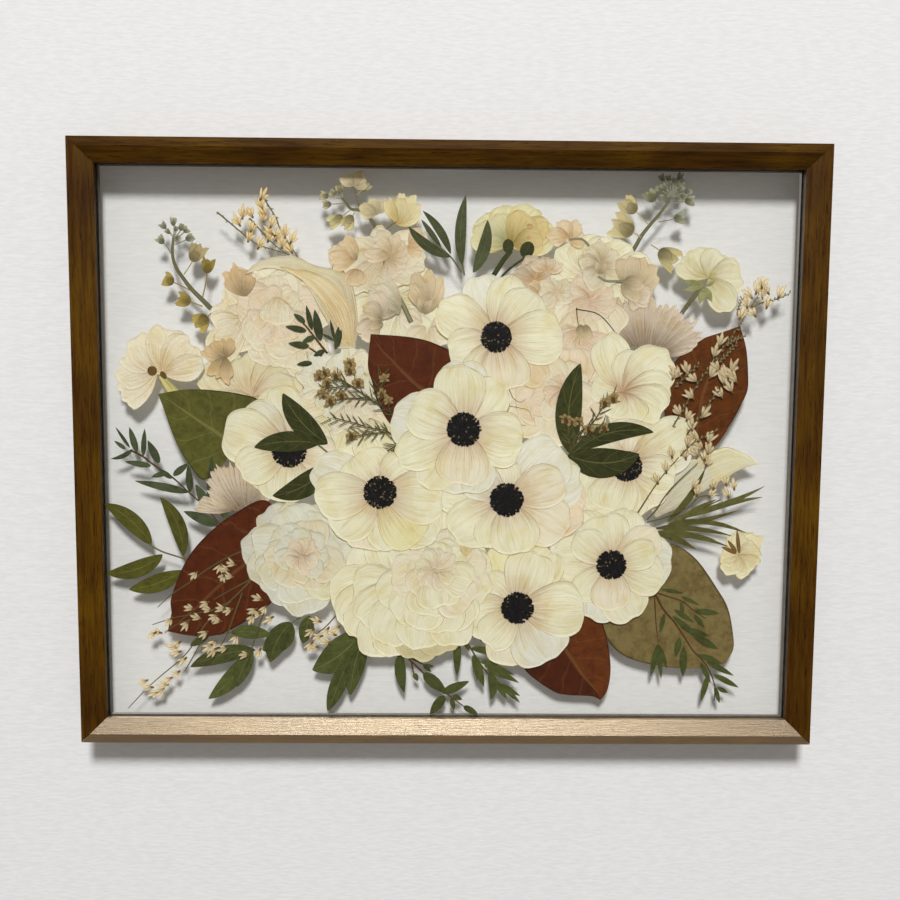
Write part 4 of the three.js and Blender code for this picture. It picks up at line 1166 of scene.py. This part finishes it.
def needles(sprig, path, count, length, width=0.9, tint=rgb(104, 104, 60)):
    """Short needle leaves on both sides of a stem through the points of path."""
    foot = even(path, count)
    run = np.degrees(np.arctan2(*np.gradient(foot, axis=0).T[::-1]))
    lean = run + np.where(np.arange(count) % 2, 38, -38) + 10 * dice.normal(size=count)
    tips = [at(spot, turn, length * (0.7 + 0.6 * dice.random())) for spot, turn in zip(foot, lean)]
    rows = [(*spot, *tip, width) for spot, tip in zip(foot, tips)]
    sprig.blades("leaflet", rows, tint, (0.5, 0.8), (4, 3))


def broom(sprig, stems, blossoms, tint=BLOSSOM, size=8.5, turn=100.0, scales=0):
    """Wiry stems, with scales small leaves per point of each, and a calyx and a beak at each blossom."""
    for points in stems:
        sprig.stem(points, 1.1, 0.6, BROOM_STEM)
        if scales:
            needles(sprig, points, scales * len(points), 2.4, 1.2, SCALE_LEAF)
    spots = np.array(blossoms, float)
    heading = turn + 90 * (dice.random(len(spots)) - 0.5)
    for lean, reach, width in BEAK:
        long = size * reach * (0.85 + 0.3 * dice.random(len(spots)))
        rows = [(*spot, *at(spot, h + lean, r), size * width) for spot, h, r in zip(spots, heading, long)]
        sprig.blades("blossom", rows, tint, (0.6, 0.5), (6, 4), 0.1, heart=CALYX)
    rows = [(*at(spot, h, -1.6), *at(spot, h, 1.4), 1.9) for spot, h in zip(spots, heading)]
    sprig.blades("blossom", rows, CALYX * 0.8, (0.5, 0.5), (4, 3))


# %%
# Genista at the top left
sprig = Specimen("genista_top_left")
broom(sprig, [[(-134, 179), (-129, 171), (-124, 163), (-121, 155), (-109, 136)],
              [(-166, 167), (-155, 158), (-144, 149), (-136, 144), (-116, 138)],
              [(-143, 163), (-134, 153), (-126, 145), (-117, 138)]],
      [(-148, 163), (-141, 164), (-134, 170), (-131, 165), (-128, 157), (-127, 152), (-142, 154), (-130, 147),
       (-137, 142), (-114, 146), (-113, 139), (-135, 176), (-150, 158), (-124, 148), (-133, 161), (-120, 143),
       (-144, 147), (-118, 150)], rgb(252, 228, 172), size=8.5, scales=3)
sprig.finish("straw_blossom")

# %%
# Genista at the bottom left
sprig = Specimen("genista_bottom_left")
broom(sprig,
      [[(-146, -74), (-162, -81), (-177, -90), (-189, -99), (-202, -108), (-213, -118)],
       [(-145, -98), (-159, -112), (-171, -119), (-188, -123), (-202, -126), (-217, -131)],
       [(-145, -97), (-158, -104), (-172, -112)], [(-189, -127), (-200, -131), (-208, -137)],
       [(-159, -113), (-177, -129), (-189, -148), (-198, -158), (-211, -169), (-222, -179), (-236, -194)],
       [(-179, -139), (-186, -152), (-194, -166)], [(-151, -107), (-157, -123), (-164, -141), (-177, -161)],
       [(-135, -121), (-142, -141), (-149, -162)], [(-82, -123), (-90, -132), (-99, -139)]],
      [(-184, -92), (-164, -93), (-156, -86), (-166, -86), (-187, -119), (-176, -114), (-174, -120),
       (-164, -119), (-159, -119), (-167, -128), (-177, -136), (-191, -129), (-203, -126), (-215, -137),
       (-211, -137), (-197, -144), (-197, -151), (-193, -156), (-198, -166), (-222, -173), (-207, -176),
       (-214, -182), (-204, -171), (-171, -143), (-155, -139), (-163, -148), (-171, -149), (-141, -119),
       (-137, -112), (-138, -122), (-129, -125), (-138, -149), (-147, -153), (-99, -134), (-93, -139),
       (-83, -138), (-100, -144), (-88, -133), (-87, -144), (-94, -128), (-80, -132), (-96, -147),
       (-218, -178), (-210, -179), (-161, -90), (-158, -95), (-170, -124), (-182, -126), (-134, -117),
       (-143, -124), (-174, -146), (-200, -148)], size=7.5, turn=200)
sprig.finish("straw_blossom")

# %%
# Genista on the right
sprig = Specimen("genista_right")
broom(sprig,
      [[(162, 17), (168, 28), (175, 41), (181, 51), (189, 63), (196, 73), (207, 89), (213, 99), (221, 112)],
       [(216, 103), (225, 107), (234, 109), (243, 113)], [(206, 97), (207, 103), (209, 109)],
       [(199, 76), (205, 80), (212, 83)], [(194, 64), (200, 70), (206, 77)],
       [(172, 11), (176, 17), (184, 28), (194, 44)], [(163, 46), (171, 54), (179, 62)],
       [(168, -4), (178, 6), (193, 14)]],
      [(223, 117), (228, 113), (227, 103), (213, 103), (219, 97), (208, 95), (194, 76), (171, 56),
       (166, 54), (161, 52), (203, 57), (207, 50), (198, 53), (188, 53), (194, 58), (204, 43), (197, 39),
       (183, 24), (167, 26), (172, 22), (176, 15), (173, 3), (181, 7), (188, 6), (184, 1), (178, 8),
       (235, 110), (219, 113), (198, 48), (201, 52), (206, 54), (180, -4), (188, -2), (216, 110),
       (224, 110), (176, 38), (190, 68), (178, 50)], size=9.5, scales=4)
sprig.finish("straw_blossom")

# %%
# Genista at the lower right, in front of the calla
sprig = Specimen("genista_lower_right", "calla_right", lift=1.5)
broom(sprig,
      [[(138, -46), (149, -28), (156, -18), (167, -5)], [(145, -51), (151, -44), (162, -28), (181, -9)],
       [(145, -53), (159, -49), (176, -41), (183, -34), (197, -33)]],
      [(162, -5), (172, -6), (186, -7), (187, -11), (178, -28), (181, -33), (193, -28), (202, -25),
       (204, -34), (208, -28), (152, -24), (158, -16), (190, -34)], size=8.0, turn=70)
sprig.finish("straw_blossom")


# %%
# Waxflower
WAX_BUD = rgb(112, 84, 48)
WAX_RIM = rgb(196, 172, 118)


def waxflower(name, host, stems, spots, lift):
    """Stems with needles and, at each spot, a round bud with a pale rim."""
    sprig = Specimen(name, host, lift)
    for points in stems:
        sprig.stem(points, 1.0, 0.7, DARK_STEM * 1.5)
        needles(sprig, points, 4 * len(points), 9)
    for spot in spots:
        floret(sprig, spot, 4.2, 5, 100, 300, WAX_RIM, CALYX * 0.6, "blossom", 0.7)
        bud = (*at(spot, -80, 3.4), *at(spot, 100, 1.5), 3.2)
        sprig.blades("blossom", [bud], WAX_BUD, (0.4, 0.6), (5, 4))
    sprig.finish("straw_blossom")


waxflower("waxflower_left", "crinkled_flower",
          [[(-36, 22), (-55, 34), (-71, 45), (-84, 53)], [(-56, 35), (-70, 36), (-86, 35)],
           [(-50, 30), (-52, 42), (-49, 52)],
           [(-30, -4), (-38, 3), (-44, 12), (-59, 15), (-68, 18), (-84, 22)],
           [(-44, 12), (-60, 10), (-71, 8)], [(-71, 45), (-80, 44), (-92, 42)],
           [(-38, 2), (-46, -3), (-45, -8)]],
          [(-94, 52), (-90, 54), (-72, 61), (-72, 56), (-91, 39), (-78, 38), (-86, 34), (-49, 39),
           (-44, 34), (-71, 9), (-82, 52), (-66, 47), (-47, 50), (-88, 47)], 1.0)
waxflower("waxflower_right", "ruscus_right",
          [[(89, -3), (92, 8), (98, 16), (104, 20), (112, 33), (117, 37)], [(90, 0), (86, 12), (84, 21)],
           [(92, 8), (101, 11), (110, 15)]],
          [(84, 22), (93, 20), (101, 15), (112, 16), (118, 37), (112, 34), (89, 20)], 0.12)

# %% [markdown]
# ## Wood, glass, bead and hanger
# The rails are walnut-brown with the grain running along each one, and the bottom one is rubbed to a
# higher gloss. The figure could be an image of wood. A noise stretched along the rail does the same,
# never repeats and runs through every mitre. The panes are clear float glass, seen as thin: what is
# behind them is not bent, only tinted, and a little is mirrored.

# %%
# Wood: the figure and the pores have this many turns per metre along and across the grain
ALONG_GRAIN = 22.0
ACROSS_GRAIN = 420.0
PATCH_SCALE = 14.0
WOOD_LIGHT = rgb(101, 71, 10)
WOOD_DARK = rgb(76, 50, 4)
PATCH_SHADE = rgb(196, 180, 160)
PORE_SHADE = rgb(128, 106, 84)
RUBBED_TINT = (1.0, 0.84, 0.62, 1.0)
WOOD_SHEEN = 0.12
PORE_DEPTH = 0.0004


def walnut(name, grain_axis, gloss):
    """Stained wood: noise stretched along the grain for the figure, fine dark pores, and a share of gloss."""
    material, tree = new_material(name)
    spot = object_place(tree)
    squeeze = [ALONG_GRAIN if axis == grain_axis else ACROSS_GRAIN for axis in "XYZ"]
    along = node(tree, "ShaderNodeMapping", Vector=spot, Scale=squeeze).outputs[0]
    figure = noise(tree, along, 1.0, 5.0, 0.6)
    pores = noise(tree, along, 3.0, 5.0, 0.75)
    patch = noise(tree, spot, PATCH_SCALE, 2.0, 0.5)
    base = blend(tree, step_up(tree, figure, 0.35, 0.7), WOOD_LIGHT, WOOD_DARK)
    toned = shaded(tree, step_up(tree, patch, 0.35, 0.75), base, PATCH_SHADE)
    pored = shaded(tree, step_up(tree, pores, 0.52, 0.66), toned, PORE_SHADE)
    dent = node(tree, "ShaderNodeBump", Strength=0.7, Distance=PORE_DEPTH, Height=pores).outputs[0]
    shine = node(tree, "ShaderNodeBsdfPrincipled", Base_Color=pored, Roughness=0.5, Normal=dent)
    shine.inputs["Specular IOR Level"].default_value = WOOD_SHEEN
    rubbed = node(tree, "ShaderNodeBsdfGlossy", Color=RUBBED_TINT, Roughness=0.4, Normal=dent).outputs[0]
    both = node(tree, "ShaderNodeMixShader", _0=gloss, _1=shine.outputs[0], _2=rubbed).outputs[0]
    node(tree, "ShaderNodeOutputMaterial", _0=both)
    return material


# %%
# Stain, steel and glass
MOTTLE_SCALE = 140.0
GLASS_TINT = (0.994, 0.994, 0.99, 1.0)
MIRROR_TINT = (1.0, 1.0, 1.0, 1.0)
MIRROR_LEAST = 0.012
MIRROR_GROWTH = 0.6


def stained(name, colour, roughness, metallic=0.0):
    """A plain finish with faint unevenness."""
    material, tree = new_material(name)
    mottle = noise(tree, object_place(tree), MOTTLE_SCALE, 4.0, 0.6)
    tone = blend(tree, step_up(tree, mottle, 0.3, 0.8), colour, colour * 0.6)
    shine = node(tree, "ShaderNodeBsdfPrincipled", Base_Color=tone, Roughness=roughness, Metallic=metallic)
    node(tree, "ShaderNodeOutputMaterial", _0=shine.outputs[0])
    return material


def pane_glass():
    """Thin glass: clear, with a mirror share that grows with the fourth power of how far sight grazes it."""
    material, tree = new_material("pane_glass")
    clear = node(tree, "ShaderNodeBsdfTransparent", Color=GLASS_TINT).outputs[0]
    mirror = node(tree, "ShaderNodeBsdfGlossy", Color=MIRROR_TINT, Roughness=0.03).outputs[0]
    facing = node(tree, "ShaderNodeLayerWeight", Blend=0.5).outputs["Facing"]
    growth = times(tree, maths(tree, "POWER", facing, 4.0), MIRROR_GROWTH)
    share = maths(tree, "ADD", growth, MIRROR_LEAST, True)
    both = node(tree, "ShaderNodeMixShader", _0=share, _1=clear, _2=mirror).outputs[0]
    node(tree, "ShaderNodeOutputMaterial", _0=both)
    return material


# %%
# Every part of the frame gets its finish, and the rails worn edges
RUBBED_GLOSS = 0.28
WORN_EDGE = 0.35 * MM
level_wood = walnut("walnut_level", "X", 0.0)
upright_wood = walnut("walnut_upright", "Z", 0.0)
glass = pane_glass()
steel = stained("hanger_steel", rgb(186, 186, 180), 0.4, 1.0)
FINISHES = {
    "rail_top": level_wood,
    "rail_bottom": walnut("walnut_rubbed", "X", RUBBED_GLOSS),
    "rail_left": upright_wood,
    "rail_right": upright_wood,
    "front_glass": glass,
    "back_glass": glass,
    "spacer": stained("spacer_black", rgb(26, 24, 22), 0.8),
    "back_bead": stained("bead_grey", rgb(104, 98, 88), 0.6),
    "sawtooth_hanger": steel,
    "hanger_nail_left": steel,
    "hanger_nail_right": steel,
}
for name, finish in FINISHES.items():
    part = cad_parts[name]
    part.data.materials.clear()
    part.data.materials.append(finish)
    if name.startswith("rail"):
        edge = part.modifiers.new("worn_edge", "BEVEL")
        edge.width = WORN_EDGE
        edge.segments = 2
        edge.limit_method = "ANGLE"
print("finished:", ", ".join(FINISHES))

# %% [markdown]
# ## Wall, light and camera
# The frame hangs on a pale painted wall and tips a little forward, so the wall lies a few millimetres
# further behind its top than its bottom. The wall could be a plain background colour, but then the
# flowers would cast no shadows through the glass. It is clear from behind and casts no shadow itself,
# so a second lamp there shows the frame's back.

# %%
# Wall
WALL_GAP_LOW = 0.5 * MM
WALL_GAP_HIGH = 4.2 * MM
WALL_REACH = 3.0
BRUSH_SCALE = (120.0, 120.0, 520.0)
BRUSH_DEPTH = 0.0004
PAINT = rgb(244, 245, 247)
PAINT_HOLLOW = rgb(236, 237, 239)


def wall_material():
    """Pale paint with faint level brush lines, clear from behind so that the frame's back can be seen."""
    material, tree = new_material("wall_paint")
    lines = node(tree, "ShaderNodeMapping", Vector=object_place(tree), Scale=BRUSH_SCALE).outputs[0]
    brush = noise(tree, lines, 1.0, 4.0, 0.6)
    tone = blend(tree, step_up(tree, brush, 0.3, 0.7), PAINT, PAINT_HOLLOW)
    dent = node(tree, "ShaderNodeBump", Strength=0.4, Distance=BRUSH_DEPTH, Height=brush).outputs[0]
    paint = node(tree, "ShaderNodeBsdfPrincipled", Base_Color=tone, Roughness=0.9, Normal=dent).outputs[0]
    clear = node(tree, "ShaderNodeBsdfTransparent").outputs[0]
    back = node(tree, "ShaderNodeNewGeometry").outputs["Backfacing"]
    seen = node(tree, "ShaderNodeMixShader", _0=back, _1=paint, _2=clear).outputs[0]
    node(tree, "ShaderNodeOutputMaterial", _0=seen)
    return material


rail_low, rail_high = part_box("rail_left")
slope = (WALL_GAP_HIGH - WALL_GAP_LOW) / (rail_high.z - rail_low.z)
wall_y = cad_box[1].y + WALL_GAP_LOW
corners = [(x * WALL_REACH, wall_y + slope * (z * WALL_REACH - rail_low.z), z * WALL_REACH)
           for x, z in ((-1, -1), (1, -1), (1, 1), (-1, 1))]
wall_mesh = bpy.data.meshes.new("wall")
wall_mesh.from_pydata(corners, [], [(0, 1, 2, 3)])
wall_mesh.materials.append(wall_material())
wall = bpy.data.objects.new("wall", wall_mesh)
bpy.context.collection.objects.link(wall)
wall.visible_shadow = False
print("the wall is", round((wall_y - cad_box[1].y) / MM, 1), "mm behind the frame's foot")

# %% [markdown]
# A soft key lamp stands high in front, so that every petal throws a short shadow down on the wall. A
# sun lamp would make the shadows hard, and an area lamp would mirror as a square in the panes. Point
# lamps weaken fast with distance, which a falloff node takes away.

# %%
# Lamps
KEY_PLACE = Vector((0, -1.764, 1.843))
KEY_ENERGY = 37.0
KEY_RADIUS = 0.28
REAR_PLACE = Vector((-1.1, 1.9, 1.2))
REAR_ENERGY = 22.0
LAMP_TINT = (1.0, 0.99, 0.97, 1.0)


def lamp(name, place, energy, radius):
    """A round lamp whose light doesn't weaken with distance."""
    light = bpy.data.lights.new(name, "POINT")
    light.energy = energy
    light.shadow_soft_size = radius
    light.use_nodes = True
    glow = light.node_tree.nodes["Emission"]
    falloff = node(light.node_tree, "ShaderNodeLightFalloff", Strength=1.0).outputs["Constant"]
    light.node_tree.links.new(falloff, glow.inputs["Strength"])
    glow.inputs["Color"].default_value = LAMP_TINT
    holder = bpy.data.objects.new(name, light)
    holder.location = place
    bpy.context.collection.objects.link(holder)


lamp("key", KEY_PLACE, KEY_ENERGY, KEY_RADIUS)
lamp("rear", REAR_PLACE, REAR_ENERGY, 2 * KEY_RADIUS)
print("lamps:", len(bpy.data.lights))

# %%
# Room: what lights the frame from all round, and what is seen past the wall
ROOM_FILL = ((1.0, 0.94, 0.86, 1.0), 0.25)
ROOM_SEEN = ((0.96, 0.97, 1.0, 1.0), 0.72)
world = bpy.data.worlds.new("room")
bpy.context.scene.world = world
world.use_nodes = True
tree = world.node_tree
tree.nodes.clear()
fill, seen = (node(tree, "ShaderNodeBackground", Color=colour, Strength=strength).outputs[0]
              for colour, strength in (ROOM_FILL, ROOM_SEEN))
direct = node(tree, "ShaderNodeLightPath").outputs["Is Camera Ray"]
room = node(tree, "ShaderNodeMixShader", _0=direct, _1=fill, _2=seen).outputs[0]
node(tree, "ShaderNodeOutputWorld", _0=room)
print("room fill:", ROOM_FILL[1])

# %% [markdown]
# The camera stands half a metre in front of the frame, a little above its middle and turned slightly
# down, which makes the lower rail look broader than the upper one.

# %%
# Camera: place in millimetres from the middle of the rails' front, turns in degrees, lens in millimetres
CAMERA_PLACE = Vector((-4.6, -525.5, 35.5))
CAMERA_TURNS = np.radians((3.878, -0.545, 0.387))
SENSOR = 36.0
LENS = 29.746


def in_room(direction):
    """The room's x, y and z for a direction given as right, down and away from the viewer."""
    return Vector((direction[0], direction[2], -direction[1]))


tilt, pan, roll = CAMERA_TURNS
turn = Matrix.Rotation(roll, 3, "Z") @ Matrix.Rotation(pan, 3, "Y") @ Matrix.Rotation(tilt, 3, "X")
right, down, forward = (in_room(row) for row in turn)
camera = bpy.data.cameras.new("camera")
camera.sensor_width = SENSOR
camera.lens = LENS
viewer = bpy.data.objects.new("camera", camera)
stand = Matrix.Translation(CAMERA_PLACE * MM + Vector((0, rail_low.y, 0)))
viewer.matrix_world = stand @ Matrix((right, -down, -forward)).transposed().to_4x4()
bpy.context.collection.objects.link(viewer)
bpy.context.scene.camera = viewer
bpy.context.scene.view_settings.view_transform = "Standard"
print("camera at", [round(v, 3) for v in viewer.matrix_world.translation])
